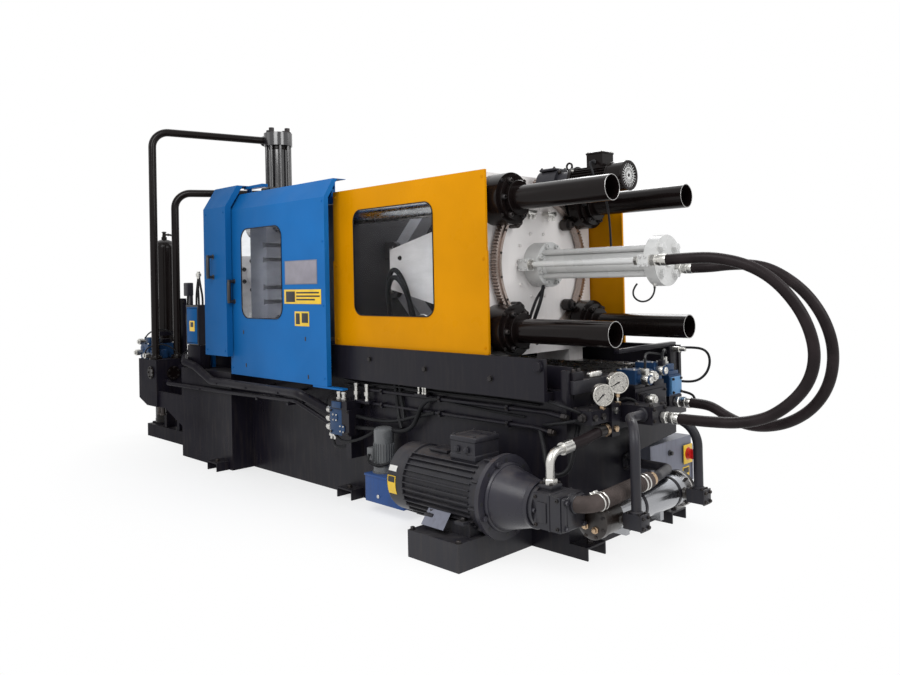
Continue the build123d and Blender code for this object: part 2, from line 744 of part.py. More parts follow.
stator_x1 = motor_front_x - shield_l
stator_x0 = stator_x1 - fin_run
stator = rod_x(stator_x0, stator_x1, motor_y, motor_z, motor_r)
feet_pads = box(plinth_left_x + 40, plinth_right_x - 30, motor_y - 150, motor_y + 150, plinth_h, motor_z - 120)
fins = []
for i in range(fin_count):
    at = 360.0 / fin_count * (i + 0.5)
    if 55 < at < 125 or 245 < at < 295:
        continue
    fin = Pos(0, motor_r + fin_h / 2 - 3, 0) * Box(fin_run, fin_h + 6, fin_t)
    fins.append(Pos((stator_x0 + stator_x1) / 2, motor_y, motor_z) * Rot(at, 0, 0) * fin)
stator = stator + fins + feet_pads
shield = rod_x(stator_x1, motor_front_x, motor_y, motor_z, motor_r + 8)
write("motor_body", stator + shield)
terminal_x0 = motor_front_x - 262
terminal_x1 = terminal_x0 + 164
terminal_box = box(terminal_x0, terminal_x1, motor_y - 85, motor_y + 85, motor_z + motor_r - 30,
                   motor_z + motor_r + 104)
terminal_box -= rod_x(terminal_x0 - 1, terminal_x1 + 1, motor_y, motor_z, motor_r)
fan_cover = rod_x(stator_x0 - fan_cover_l, stator_x0, motor_y, motor_z, fan_cover_r)
write("motor_covers", terminal_box, fan_cover)
flange = rod_x(motor_front_x, motor_front_x + flange_t, motor_y, motor_z, flange_r)
bell_x1 = motor_front_x + flange_t + bell_length
bell = Pos((motor_front_x + flange_t + bell_x1) / 2, motor_y, motor_z) * Rot(0, 90, 0) * Cone(
    bell_big_r, bell_small_r, bell_length)
write("bellhousing", flange + bell)
pump_plate = rod_x(bell_x1, bell_x1 + 22, motor_y, motor_z, 98)
pump_body = box(bell_x1 + 22, bell_x1 + 22 + pump_length, motor_y - pump_w / 2, motor_y + pump_w / 2,
                motor_z - pump_h / 2, motor_z + pump_h / 2)
pump_port_x = bell_x1 + pump_port_in
port_z1 = motor_z + pump_h / 2 + pump_port_h
pump_port = box(pump_port_x - 32, pump_port_x + 32, motor_y - 36, motor_y + 36, motor_z + pump_h / 2, port_z1)
write("hydraulic_pump", pump_plate + pump_body + pump_port)

# End manifold, gauges, cooler

shelf_x1 = base_right_x + 130
shelf_z1 = 640.0
shelf_plate = box(base_right_x, shelf_x1, -210, 440, shelf_z1 - 40, shelf_z1)
apron = prism_x([(-60, shelf_z1 - 39), (-60, 456), (335, 496), (335, shelf_z1 - 39)], shelf_x1 - 16, shelf_x1)
valve_block = box(base_right_x + 10, shelf_x1, -60, 240, shelf_z1, shelf_z1 + 130)
return_block = box(base_right_x + 10, shelf_x1, 270, 400, shelf_z1, shelf_z1 + 55)
gauge_block = box(base_right_x, shelf_x1, -440, -190, shelf_z1, shelf_z1 + 65)
hang_block = box(shelf_x1 - 50, shelf_x1 + 12, -290, -222, 565, shelf_z1 + 85)
valve_z0 = shelf_z1 + 130
valves = [box(base_right_x + 12, shelf_x1 - 10, -42, 34, valve_z0, valve_z0 + 92),
          box(base_right_x + 12, shelf_x1 - 5, 132, 208, valve_z0, valve_z0 + 116),
          box(base_right_x + 5, shelf_x1 - 2, 275, 395, shelf_z1 + 55, shelf_z1 + 165)]
solenoids = [rod_x(shelf_x1 - 11, shelf_x1 + 58, -4, valve_z0 + 46, 25),
             rod_x(shelf_x1 - 6, shelf_x1 + 40, 170, valve_z0 + 76, 25)]
write("end_valves", valves[0] + solenoids[0], valves[1] + solenoids[1], valves[2])
gauges = []
for y, z in ((-338.0, 774.0), (-206.0, 820.0)):
    at = Pos(base_right_x + 120, y, z) * Rot(0, 0, -30)
    dial = at * Rot(0, 90, 0) * Cylinder(gauge_r, gauge_t)
    stem = rod_z(shelf_z1 + 65, z - gauge_r + 6, base_right_x + 120, y, 9)
    gauges.append(dial + stem)
write("pressure_gauges", *gauges)
write("switch_cabinet", box(base_right_x, base_right_x + 105, 110, 534, 150, 448) + box(
    base_right_x + 105, base_right_x + 115, 440, 512, 310, 400))
knob_y = 476.0
knob_z = 356.0
knob = rod_x(base_right_x + 115.3, base_right_x + 140, knob_y, knob_z, 28) + box(
    base_right_x + 140, base_right_x + 156, knob_y - 8, knob_y + 8, knob_z - 27, knob_z + 27)
write("switch_knob", knob)

cooler_shell = rod_y(-590, 110, cooler_x, cooler_z, cooler_r)
cooler_shell += rod_y(-625, -588, cooler_x, cooler_z, cooler_r + 6)
cooler_shell += rod_y(108, 140, cooler_x, cooler_z, cooler_r + 14)
necks = []
for y in cooler_ports:
    necks.append(rod_x(cooler_x, cooler_x + cooler_r + 26, y, cooler_z, 21))
port_x0 = cooler_x + cooler_r + 26
port_blocks = [box(port_x0, port_x0 + 95, y - 32, y + 32, cooler_z - 32, cooler_z + 36) for y in cooler_ports]
cradles = []
for y in (-400.0, -100.0):
    cradle = box(base_right_x, cooler_x + 40, y - 15, y + 15, cooler_z - cooler_r - 30, cooler_z)
    cradles.append(cradle - rod_y(y - 30, y + 30, cooler_x, cooler_z, cooler_r))
write("oil_cooler", cooler_shell + necks + cradles)

# Arch pipes between the blocks of the cooler and the manifold

arch_x = port_x0 + 50
hose_block_y = -125.0
hose_block_x = base_right_x + 250
hose_block = box(shelf_x1 - 20, hose_block_x + 55, hose_block_y - 65, hose_block_y + 65, 625, 712)
arch_left = pipe([(arch_x, cooler_ports[0], cooler_z + 36), (arch_x, cooler_ports[0], 672),
                  (hose_block_x, hose_block_y - 180, 672), (hose_block_x, hose_block_y - 65, 672)], pipe_r, 105)
arch_right = pipe([(arch_x, cooler_ports[1], cooler_z + 36), (arch_x, cooler_ports[1], 620),
                   (shelf_x1, cooler_ports[1], 620)], pipe_r, 120)
write("arch_pipes", arch_left + port_blocks[0], arch_right + port_blocks[1])
write("end_manifold", shelf_plate + apron + valve_block + return_block + gauge_block + hang_block + hose_block)

# Lubrication unit

lube_x = motor_front_x - 1085
lube_y = -base_half_w - 90
lube_tank = box(lube_x - 65, lube_x + 115, lube_y - 90, -base_half_w, 70, 225)
lube_motor = rod_z(225, 262, lube_x, lube_y, 56) + rod_z(262, 400, lube_x, lube_y, 50) + rod_z(
    400, 470, lube_x, lube_y, 56)
write("lubrication_unit", lube_tank + lube_motor)

# Accumulator stand

acc_x = -1150.0
acc_y = 390.0
acc_head_z0 = 2575.0
acc_head_z1 = 2690.0
acc_base_z = 300.0
acc = rod_z(acc_base_z, acc_head_z0, acc_x, acc_y, 80)
head = rod_z(acc_head_z0, acc_head_z1, acc_x, acc_y, 125)
foot_block = box(acc_x - 125, acc_x + 125, acc_y - 125, acc_y + 125, low_h, acc_base_z)
acc_rods = []
for at in range(0, 360, 45):
    y = acc_y + 104 * math.sin(math.radians(at + 22.5))
    x = acc_x + 104 * math.cos(math.radians(at + 22.5))
    acc_rods.append(rod_z(acc_base_z, acc_head_z0, x, y, 13))
acc_port = box(acc_x - 70, acc_x + 70, acc_y - 135, acc_y - 75, 2080, 2200)
write("accumulator", acc + head + foot_block + acc_rods + acc_port)

manifold_x1 = -1450.0
manifold = prism_y([(-1790, 727), (-1790, 392), (-1640, 338), (manifold_x1, 338), (manifold_x1, 727)], -637, -355)
posts = [box(x, x + 40, -440, -360, low_h, 400) for x in (-1740, -1500)]
gussets = [prism_y([(manifold_x1, 470), (inj_left_x, 470), (inj_left_x, 215), (manifold_x1 + 120, 338),
                    (manifold_x1, 338)], y, y + 14) for y in (-620, -372)]
write("left_manifold", manifold + posts + gussets)
bottle = fillet(rod_z(low_h + 12, 1766, bottle_x, bottle_y, bottle_r).edges().sort_by(Axis.Z)[-1], 78)
bottle += rod_z(1760, 1790, bottle_x, bottle_y, 24) + rod_z(1790, 1832, bottle_x, bottle_y, 15)
write("nitrogen_bottle", bottle)

tall_pipe = pipe([(-1560, -590, 727), (-1560, -590, 2660), (-1225, acc_y - 70, 2630)], 32, 130) - head
low_pipe = pipe([(-1512, -420, 727), (-1512, -420, 2140), (acc_x, acc_y - 120, 2140)], 32, 130) - acc_port
write("accumulator_pipes", tall_pipe, low_pipe)

# Shot unit behind the fixed platen

shot = rod_x(-900, -fixed_thick - 150, 0, axis_z, 95)
shot_block = box(-997, -900, -160, 160, axis_z - 160, axis_z + 160)
write("shot_cylinder", shot + shot_block + box(-980, -900, -150, 150, inj_top_z, axis_z - 160))

# Fittings and hoses of the closing cylinder

fitting_x0 = closing_end_x - 4
hose_start_x = fitting_x0 + hose_fitting_l
return_x0 = hose_block_x + 55
return_inner = (hose_block_y + 25, 655.0)
return_outer = (335.0, 662.0)
outer_start = (88.0, axis_z - 40.0)
elbow_z = port_z1 + 140
elbow_points = [(pump_port_x, motor_y, port_z1), (pump_port_x, motor_y, elbow_z), (pump_port_x, motor_y + 150,
                elbow_z + 12)]
fittings = [rod_x(fitting_x0, hose_start_x, -hose_offset_y, axis_z, hose_fitting_r),
            rod_x(closing_end_x, hose_start_x, *outer_start, hose_fitting_r),
            rod_x(return_x0, return_x0 + hose_fitting_l, *return_inner, hose_fitting_r),
            rod_x(shelf_x1, shelf_x1 + hose_fitting_l, *return_outer, hose_fitting_r),
            pipe(elbow_points, elbow_r, 60)]
write("hose_fittings", *fittings)

inner_route = [(hose_start_x, -hose_offset_y, axis_z), (3165, -hose_offset_y, axis_z), (3290, -128, 1410),
               (3415, -100, 1368), (3530, -75, 1298), (3615, -52, 1200), (3656, -35, 1088), (3660, -28, 975),
               (3622, -35, 868), (3545, -50, 778), (3430, -70, 706), (3300, -90, 668),
               (3180, return_inner[0], return_inner[1]),
               (return_x0 + hose_fitting_l, return_inner[0], return_inner[1])]
outer_route = [(hose_start_x, *outer_start), (3125, *outer_start), (3210, 118, 1388), (3320, 158, 1380),
               (3430, 190, 1340), (3540, 215, 1265), (3622, 236, 1160), (3660, 247, 1030), (3655, 256, 905),
               (3612, 264, 790), (3530, 274, 690), (3410, 288, 612), (3260, 300, 582), (3130, 312, 606),
               (3020, return_outer[0], return_outer[1]),
               (shelf_x1 + hose_fitting_l, return_outer[0], return_outer[1])]
write("closing_hose_inner", hose(inner_route, hose_r))
write("closing_hose_outer", hose(outer_route, hose_r))

# Pump hoses

pressure = pipe([elbow_points[-1], (pump_port_x, motor_y + 250, elbow_z + 20), (shelf_x1 - 13, -345, 600),
                 (shelf_x1 - 13, -290, 600)], pressure_r, 250)
write("pressure_hose", pressure)

# Valve block and pipe runs on the front of the bed

run_y = -base_half_w - 20
front_pipe_y = -inj_half_w - 36
thin_pipe_y = -inj_half_w - 20
front_x0 = 905.0
write("front_valve_block", box(front_x0, front_x0 + 190, -base_half_w - 122, -base_half_w, 400, 560) + box(
    front_x0 + 20, front_x0 + 180, -base_half_w - 130, -base_half_w - 20, 560, 612) + box(
    front_x0 + 130, front_x0 + 180, -base_half_w - 100, -base_half_w, 262, 400))
runs = []
for z, end_x, r in ((682, 2560, 11), (600, 2480, 9)):
    run = pipe([(1130, run_y, z), (end_x, run_y, z), (end_x + 100, run_y - 10, z - 10)], r, 60)
    for x in (1300, 1800, 2300):
        run += box(x - 9, x + 9, run_y - 16, -base_half_w, z - 16, z + 16)
    runs.append(run)
thick = pipe([(manifold_x1, -420, 650), (manifold_x1 + 90, -420, 650), (manifold_x1 + 180, -470, 752),
              (-860, front_pipe_y, 752), (-690, front_pipe_y, 726), (-440, front_pipe_y, 634), (700, front_pipe_y, 640), (front_x0 - 75, -base_half_w - 64, 520),
              (front_x0, -base_half_w - 64, 520)], 29, 60)
thin = pipe([(manifold_x1, -560, 548), (manifold_x1 + 80, -560, 548), (manifold_x1 + 260, thin_pipe_y, 556),
             (-300, thin_pipe_y, 566), (640, thin_pipe_y, 586), (front_x0 - 75, -base_half_w - 64, 440),
             (front_x0, -base_half_w - 64, 440)], 15, 50)
for x, back_y in ((-640, -inj_half_w), (180, -base_half_w), (560, -base_half_w)):
    thin += box(x - 12, x + 12, thin_pipe_y - 18, back_y, 551, 566)
for x, back_y in ((-330, -inj_half_w), (80, -base_half_w), (480, -base_half_w)):
    thick += box(x - 14, x + 14, front_pipe_y - 32, back_y, 622, 634)
write("hard_pipes", *runs, thick, thin)
write("left_valves", box(-1780, -1640, -620, -380, 727, 850))
write("control_box", box(-895, -700, rail_bar_y0 - 138, rail_bar_y0 - 38, 885, 1184) + box(
    -795, -765, rail_bar_y0 - 39, rail_bar_y0, 1000, 1060))

# Suction line of the pump

pump_x1 = bell_x1 + 22 + pump_length
coupling = (cooler_x + 91, -290.0, 392.0)
suction_bend = (pump_x1 + 90, motor_y, 352.0)
suction = pipe([(pump_x1, motor_y, 352), suction_bend, coupling], suction_r, 80)
write("suction_hose", suction)
before = Vector(*coupling) - Vector(*suction_bend)
run_on = Vector(*coupling) + before.normalized() * 60
suction_pipe = pipe([coupling, tuple(run_on), (cooler_x - 4, 45, 370), (base_right_x, 45, 370)], suction_pipe_r, 52)
write("suction_pipe", suction_pipe)
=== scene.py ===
"""Cold chamber die casting machine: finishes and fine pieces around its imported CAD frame.

Everything is in metres, in the frame of the CAD: +X from the injection end to the clamp end,
-Y the operator's side, +Z up, and the floor at zero.
"""

from __future__ import annotations

import json
import logging
import math
from dataclasses import dataclass, field
from enum import Enum
from typing import Callable, Iterable, Sequence

import bmesh
import bpy
from mathutils import Matrix, Vector

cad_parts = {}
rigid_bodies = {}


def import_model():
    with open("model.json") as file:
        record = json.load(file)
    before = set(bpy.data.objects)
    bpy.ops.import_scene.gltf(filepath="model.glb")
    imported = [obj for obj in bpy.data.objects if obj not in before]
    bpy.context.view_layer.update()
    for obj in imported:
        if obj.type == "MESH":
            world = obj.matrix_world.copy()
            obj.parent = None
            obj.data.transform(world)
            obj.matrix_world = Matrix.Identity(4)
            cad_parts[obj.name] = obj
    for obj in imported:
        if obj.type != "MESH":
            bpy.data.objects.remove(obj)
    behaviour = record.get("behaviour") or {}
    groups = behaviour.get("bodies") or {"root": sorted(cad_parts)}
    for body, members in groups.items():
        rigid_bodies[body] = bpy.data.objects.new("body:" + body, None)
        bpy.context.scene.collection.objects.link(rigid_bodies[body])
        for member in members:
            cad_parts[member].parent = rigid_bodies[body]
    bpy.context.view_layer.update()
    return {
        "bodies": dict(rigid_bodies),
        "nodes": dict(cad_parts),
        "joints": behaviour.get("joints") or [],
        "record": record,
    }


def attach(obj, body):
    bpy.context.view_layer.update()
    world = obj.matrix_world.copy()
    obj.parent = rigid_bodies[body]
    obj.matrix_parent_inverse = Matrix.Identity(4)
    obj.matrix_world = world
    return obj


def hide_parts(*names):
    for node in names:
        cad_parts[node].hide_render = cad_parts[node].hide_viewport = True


LOG = logging.getLogger("die_casting_machine")

Point = tuple[float, float, float]
Colour = tuple[float, float, float]
Profile = Sequence[tuple[float, float]]
Piece = bpy.types.Object


class Way(Enum):
    """The direction in which a turned or stamped piece points."""

    RIGHT = (1.0, 0.0, 0.0)
    LEFT = (-1.0, 0.0, 0.0)
    FRONT = (0.0, -1.0, 0.0)
    BACK = (0.0, 1.0, 0.0)
    UP = (0.0, 0.0, 1.0)
    DOWN = (0.0, 0.0, -1.0)

    def turn(self) -> Matrix:
        """The rotation that brings +Z onto this direction.

        Returns:
            The rotation, as a 4 by 4 matrix.
        """
        if self is Way.DOWN:
            return Matrix.Rotation(math.pi, 4, "X")
        return Vector((0, 0, 1)).rotation_difference(Vector(self.value)).to_matrix().to_4x4()

    def at(self, point: Point) -> Matrix:
        """The placement of a piece that stands on a point and points this way.

        Args:
            point: Where the piece's base goes.

        Returns:
            The placement, as one matrix.
        """
        return Matrix.Translation(Vector(point)) @ self.turn()


# Finishes


class NodeSheet:
    """The nodes of one material, laid out from left to right."""

    def __init__(self, name: str) -> None:
        """Starts a material with a principled shader.

        Args:
            name: The material's name.
        """
        self.material = bpy.data.materials.new(name)
        self.material.use_nodes = True
        self.tree = self.material.node_tree
        self.tree.nodes.clear()
        self.output = self.add("ShaderNodeOutputMaterial")
        self.shader = self.add("ShaderNodeBsdfPrincipled")
        self.join(self.shader.outputs["BSDF"], self.output.inputs["Surface"])
        self.place = self.add("ShaderNodeTexCoord").outputs["Object"]

    def add(self, kind: str) -> bpy.types.Node:
        """Adds a node of a kind."""
        return self.tree.nodes.new(kind)

    def join(self, source: bpy.types.NodeSocket, target: bpy.types.NodeSocket) -> None:
        """Links two sockets."""
        self.tree.links.new(source, target)

    def stretched(self, scale: Point) -> bpy.types.NodeSocket:
        """Object coordinates scaled by axis, for a grain that runs one way.

        Args:
            scale: The scale by axis.

        Returns:
            The socket of the scaled coordinates.
        """
        mapping = self.add("ShaderNodeMapping")
        mapping.inputs["Scale"].default_value = scale
        self.join(self.place, mapping.inputs["Vector"])
        return mapping.outputs["Vector"]

    def noise(self, scale: float, detail: float = 3.0, stretch: Point | None = None) -> bpy.types.NodeSocket:
        """A noise pattern on Object coordinates.

        Args:
            scale: Waves in a metre.
            detail: Octaves.
            stretch: A scale by axis, where the pattern runs one way.

        Returns:
            The pattern's socket, from 0 to 1.
        """
        node = self.add("ShaderNodeTexNoise")
        node.inputs["Scale"].default_value = scale
        node.inputs["Detail"].default_value = detail
        self.join(self.stretched(stretch) if stretch else self.place, node.inputs["Vector"])
        return node.outputs["Fac"]

    def spread(self, source: bpy.types.NodeSocket, low: float, high: float,
               start: float = 0.3, stop: float = 0.7) -> bpy.types.NodeSocket:
        """Maps a pattern to a range of values.

        Args:
            source: The pattern's socket.
            low: The value where the range starts.
            high: The value where the range stops.
            start: Where the range starts.
            stop: Where the range stops.

        Returns:
            The mapped value's socket.
        """
        node = self.add("ShaderNodeMapRange")
        node.inputs["From Min"].default_value = start
        node.inputs["From Max"].default_value = stop
        node.inputs["To Min"].default_value = low
        node.inputs["To Max"].default_value = high
        self.join(source, node.inputs["Value"])
        return node.outputs["Result"]

    def times(self, first: bpy.types.NodeSocket, second: bpy.types.NodeSocket) -> bpy.types.NodeSocket:
        """The product of two patterns.

        Args:
            first: The first pattern's socket.
            second: The second pattern's socket.

        Returns:
            The product's socket.
        """
        node = self.add("ShaderNodeMath")
        node.operation = "MULTIPLY"
        self.join(first, node.inputs[0])
        self.join(second, node.inputs[1])
        return node.outputs["Value"]

    def blend(self, amount: bpy.types.NodeSocket, first: Colour | bpy.types.NodeSocket,
              second: Colour) -> bpy.types.NodeSocket:
        """Mixes two colours by a pattern.

        Args:
            amount: The pattern, where 0 is the first colour and 1 the second.
            first: A colour, or the socket of one.
            second: The other colour.

        Returns:
            The mixed colour's socket.
        """
        node = self.add("ShaderNodeMix")
        node.data_type = "RGBA"
        sockets = [s for s in node.inputs if s.type == "RGBA"]
        self.join(amount, node.inputs["Factor"])
        if isinstance(first, tuple):
            sockets[0].default_value = (*first, 1.0)
        else:
            self.join(first, sockets[0])
        sockets[1].default_value = (*second, 1.0)
        return [s for s in node.outputs if s.type == "RGBA"][0]

    def facing_up(self) -> bpy.types.NodeSocket:
        """How far a surface faces up, from 0 to 1.

        Returns:
            The socket of a value from 0 to 1.
        """
        split = self.add("ShaderNodeSeparateXYZ")
        self.join(self.add("ShaderNodeNewGeometry").outputs["Normal"], split.inputs["Vector"])
        return self.spread(split.outputs["Z"], 0.0, 1.0, 0.55, 0.98)

    def low_down(self, top: float) -> bpy.types.NodeSocket:
        """How near a point is to the floor, from 1 at the floor to 0 at a height.

        Args:
            top: The height in metres where it reaches 0.

        Returns:
            The socket of a value from 0 to 1.
        """
        split = self.add("ShaderNodeSeparateXYZ")
        self.join(self.place, split.inputs["Vector"])
        return self.spread(split.outputs["Z"], 1.0, 0.0, 0.0, top)

    def along(self, low: float, high: float, start: float, stop: float) -> bpy.types.NodeSocket:
        """A value that changes along the machine's length.

        Args:
            low: The value where the range starts.
            high: The value where the range stops.
            start: X in metres where the change starts.
            stop: X in metres where the change stops.

        Returns:
            The value's socket.
        """
        split = self.add("ShaderNodeSeparateXYZ")
        self.join(self.place, split.inputs["Vector"])
        return self.spread(split.outputs["X"], low, high, start, stop)

    def bump(self, height: bpy.types.NodeSocket, strength: float, distance: float) -> None:
        """Gives the shader a relief.

        Args:
            height: The relief's pattern.
            strength: How strong the relief is, from 0 to 1.
            distance: How deep the relief is, in metres.
        """
        node = self.add("ShaderNodeBump")
        node.inputs["Strength"].default_value = strength
        node.inputs["Distance"].default_value = distance
        self.join(height, node.inputs["Height"])
        self.join(node.outputs["Normal"], self.shader.inputs["Normal"])

    def set(self, **values: float) -> None:
        """Sets plain values on the shader, by socket name with underscores for spaces."""
        for key, value in values.items():
            self.shader.inputs[key.replace("_", " ")].default_value = value


@dataclass(frozen=True)
class Finish:
    """A finish with one material, made once."""

    name: str
    slot: str
    colour: Colour

    def material(self) -> bpy.types.Material:
        """The finish's material.

        Returns:
            The material, made the first time that it is asked for.
        """
        found = bpy.data.materials.get(self.name)
        if found is None:
            sheet = NodeSheet(self.name)
            self.lay(sheet)
            found = sheet.material
        return found

    def lay(self, sheet: NodeSheet) -> None:
        """Fills the material's nodes."""
        raise NotImplementedError


@dataclass(frozen=True)
class Paint(Finish):
    """Sprayed machine paint with dust, rough patches and an orange peel surface; where asked, also a painted
    highlight on upward faces and painted shade towards the left end.
    """

    rough: float = 0.35
    gloss: float = 0.5
    coat: float = 0.0
    mottle: float = 0.08
    dust: float = 0.12
    soil: float = 0.25
    peel: float = 0.10
    soil_colour: Colour = (0.045, 0.036, 0.030)
    # Painted highlight: the reflection strength that upward faces reach, standing in for light from above.
    sky: float = 0.0
    # Painted shade: how much of the reflection fades out towards the machine's left end.
    dull: float = 0.0
    # Painted shade: how far the colour darkens towards the left end.
    shade: float = 0.0

    def lay(self, sheet: NodeSheet) -> None:
        """Fills the material's nodes.

        Args:
            sheet: The material's nodes.
        """
        tone = tuple(max(0.0, c * (1.0 - 2.2 * self.mottle)) for c in self.colour)
        light = tuple(min(1.0, c * (1.0 + self.mottle)) for c in self.colour)
        body = sheet.blend(sheet.spread(sheet.noise(2.3, 5.0), 0.0, 1.0, 0.32, 0.68), light, tone)
        streaks = sheet.noise(7.0, 4.0, (6.0, 6.0, 0.7))
        grime = sheet.times(sheet.spread(streaks, 0.0, self.soil, 0.48, 0.72), sheet.low_down(1.6))
        body = sheet.blend(grime, body, self.soil_colour)
        settled = sheet.times(sheet.facing_up(),
                              sheet.spread(sheet.noise(11.0, 6.0), 0.0, self.dust, 0.35, 0.65))
        body = sheet.blend(settled, body, (0.33, 0.31, 0.29))
        # Painted shade: the colour darkens towards near black from X 0.5 to -0.5 m.
        if self.shade:
            body = sheet.blend(sheet.along(self.shade, 0.0, -0.5, 0.5), body, (0.0, 0.004, 0.010))
        sheet.join(body, sheet.shader.inputs["Base Color"])
        patches = sheet.noise(5.0, 6.0)
        sheet.join(sheet.spread(patches, self.rough - 0.06, self.rough + 0.12),
                   sheet.shader.inputs["Roughness"])
        sheet.bump(sheet.noise(210.0, 2.0), self.peel, 0.0006)
        sheet.set(Specular_IOR_Level=self.gloss, Coat_Weight=self.coat, Coat_Roughness=0.08)
        # Painted shade: the reflection fades towards the left end (X from 1.2 down to -0.7 m), so the paint
        # looks darker there.
        if self.dull:
            sheet.join(sheet.along(self.gloss * (1.0 - self.dull), self.gloss, -0.7, 1.2),
                       sheet.shader.inputs["Specular IOR Level"])
        # Painted highlight: upward faces reflect more strongly than the sides, as if lit from above.
        if self.sky:
            sheet.join(sheet.spread(sheet.facing_up(), self.gloss, self.sky, 0.0, 1.0),
                       sheet.shader.inputs["Specular IOR Level"])


@dataclass(frozen=True)
class Steel(Finish):
    """Bare, ground or plated steel with fine marks that run one way, and where asked painted shade on faces
    that don't face up.
    """

    rough: float = 0.3
    metal: float = 1.0
    grain: Point = (1.0, 1.0, 1.0)
    grain_scale: float = 120.0
    stain: float = 0.25
    stain_colour: Colour = (0.10, 0.07, 0.05)
    relief: float = 0.06
    # Painted shade: a colour for faces that don't face up, so tops look lighter than sides and bottom.
    under: Colour | None = None

    def lay(self, sheet: NodeSheet) -> None:
        """Fills the material's nodes.

        Args:
            sheet: The material's nodes.
        """
        marks = sheet.noise(self.grain_scale, 3.0, self.grain)
        # The darker tone of the fine grain marks.
        dull = tuple(c * 0.72 for c in self.colour)
        body = sheet.blend(sheet.spread(marks, 0.0, 1.0), self.colour, dull)
        film = sheet.spread(sheet.noise(6.0, 6.0), 0.0, self.stain, 0.45, 0.75)
        body = sheet.blend(film, body, self.stain_colour)
        # Painted shade: faces that don't face up take the darker colour.
        if self.under:
            body = sheet.blend(sheet.spread(sheet.facing_up(), 1.0, 0.0, 0.0, 1.0), body, self.under)
        sheet.join(body, sheet.shader.inputs["Base Color"])
        sheet.join(sheet.spread(marks, self.rough - 0.07, self.rough + 0.1), sheet.shader.inputs["Roughness"])
        sheet.bump(marks, self.relief, 0.0003)
        sheet.set(Metallic=self.metal)


@dataclass(frozen=True)
class Rubber(Finish):
    """Hose rubber or cable jacket with a wrapped cloth print."""

    rough: float = 0.5
    print_scale: float = 260.0

    def lay(self, sheet: NodeSheet) -> None:
        """Fills the material's nodes.

        Args:
            sheet: The material's nodes.
        """
        pale = tuple(c * 1.9 for c in self.colour)
        body = sheet.blend(sheet.spread(sheet.noise(9.0, 5.0), 0.0, 1.0, 0.4, 0.75), self.colour, pale)
        sheet.join(body, sheet.shader.inputs["Base Color"])
        print_marks = sheet.noise(self.print_scale, 2.0)
        sheet.join(sheet.spread(print_marks, self.rough - 0.08, self.rough + 0.1),
                   sheet.shader.inputs["Roughness"])
        sheet.bump(print_marks, 0.18, 0.0006)
        sheet.set(Specular_IOR_Level=0.1)


@dataclass(frozen=True)
class Plastic(Finish):
    """Moulded plastic with a fine grain."""

    rough: float = 0.4
    grain_scale: float = 420.0
    coat: float = 0.0

    def lay(self, sheet: NodeSheet) -> None:
        """Fills the material's nodes.

        Args:
            sheet: The material's nodes.
        """
        deep = tuple(c * 0.8 for c in self.colour)
        body = sheet.blend(sheet.spread(sheet.noise(14.0, 4.0), 0.0, 1.0), self.colour, deep)
        sheet.join(body, sheet.shader.inputs["Base Color"])
        grain = sheet.noise(self.grain_scale, 2.0)
        sheet.join(sheet.spread(grain, self.rough - 0.05, self.rough + 0.08),
                   sheet.shader.inputs["Roughness"])
        sheet.bump(grain, 0.08, 0.0004)
        sheet.set(Coat_Weight=self.coat)


@dataclass(frozen=True)
class ClearSheet(Finish):
    """Clear guard sheet or gauge glass, with wipe marks."""

    rough: float = 0.04
    clear: float = 1.0

    def lay(self, sheet: NodeSheet) -> None:
        """Fills the material's nodes.

        Args:
            sheet: The material's nodes.
        """
        marks = sheet.noise(8.0, 6.0, (1.0, 1.0, 3.0))
        sheet.join(sheet.blend(sheet.spread(marks, 0.0, 1.0), self.colour,
                               tuple(c * 0.9 for c in self.colour)),
                   sheet.shader.inputs["Base Color"])
        sheet.join(sheet.spread(marks, self.rough, self.rough + 0.02), sheet.shader.inputs["Roughness"])
        sheet.set(Transmission_Weight=self.clear, IOR=1.08, Specular_IOR_Level=0.3)


# The charcoal bed paint carries painted shade: its reflection fades towards the left end.
BED_BLACK = Paint("bed_charcoal", "dark_paint", (0.0080, 0.0071, 0.0112), rough=0.32, gloss=0.2, dust=0.06,
                  dull=0.9)
# Painted highlight: this gloss black's upward faces reflect more strongly than its sides.
GLOSS_BLACK = Paint("tube_gloss_black", "gloss_black", (0.0060, 0.0040, 0.0038), rough=0.15, gloss=0.15,
                    dust=0.02,
                    soil=0.05, peel=0.03, mottle=0.04, sky=0.9)
ROD_BLACK = Paint("rod_gloss_black", "gloss_black", (0.010, 0.009, 0.011), rough=0.14, gloss=0.95, dust=0.02,
                  soil=0.05, peel=0.03, mottle=0.04)
BLACK_OXIDE = Steel("black_oxide_steel", "black_oxide", (0.035, 0.032, 0.033), rough=0.38, metal=0.7,
                    stain=0.3)
# The door blue carries painted shade: its colour darkens and its reflection fades towards the left end.
DOOR_BLUE = Paint("door_blue", "blue_paint", (0.007, 0.121, 0.365), rough=0.36, gloss=0.10, dust=0.03,
                  soil=0.05,
                  mottle=0.05, peel=0.05, soil_colour=(0.03, 0.08, 0.2), dull=0.7, shade=0.42)
GUARD_YELLOW = Paint("guard_yellow", "yellow_paint", (0.57, 0.232, 0.0006), rough=0.3, gloss=0.05, dust=0.02,
                     soil=0.10, mottle=0.05, peel=0.05, soil_colour=(0.35, 0.14, 0.01))
TAIL_WHITE = Paint("tailstock_white", "white_paint", (0.80, 0.77, 0.755), rough=0.33, gloss=0.5, dust=0.05,
                   soil=0.35, mottle=0.04, soil_colour=(0.45, 0.36, 0.33))
PLATEN_GREY = Paint("platen_grey", "platen_paint", (0.36, 0.36, 0.40), rough=0.4, soil=0.35, mottle=0.09)
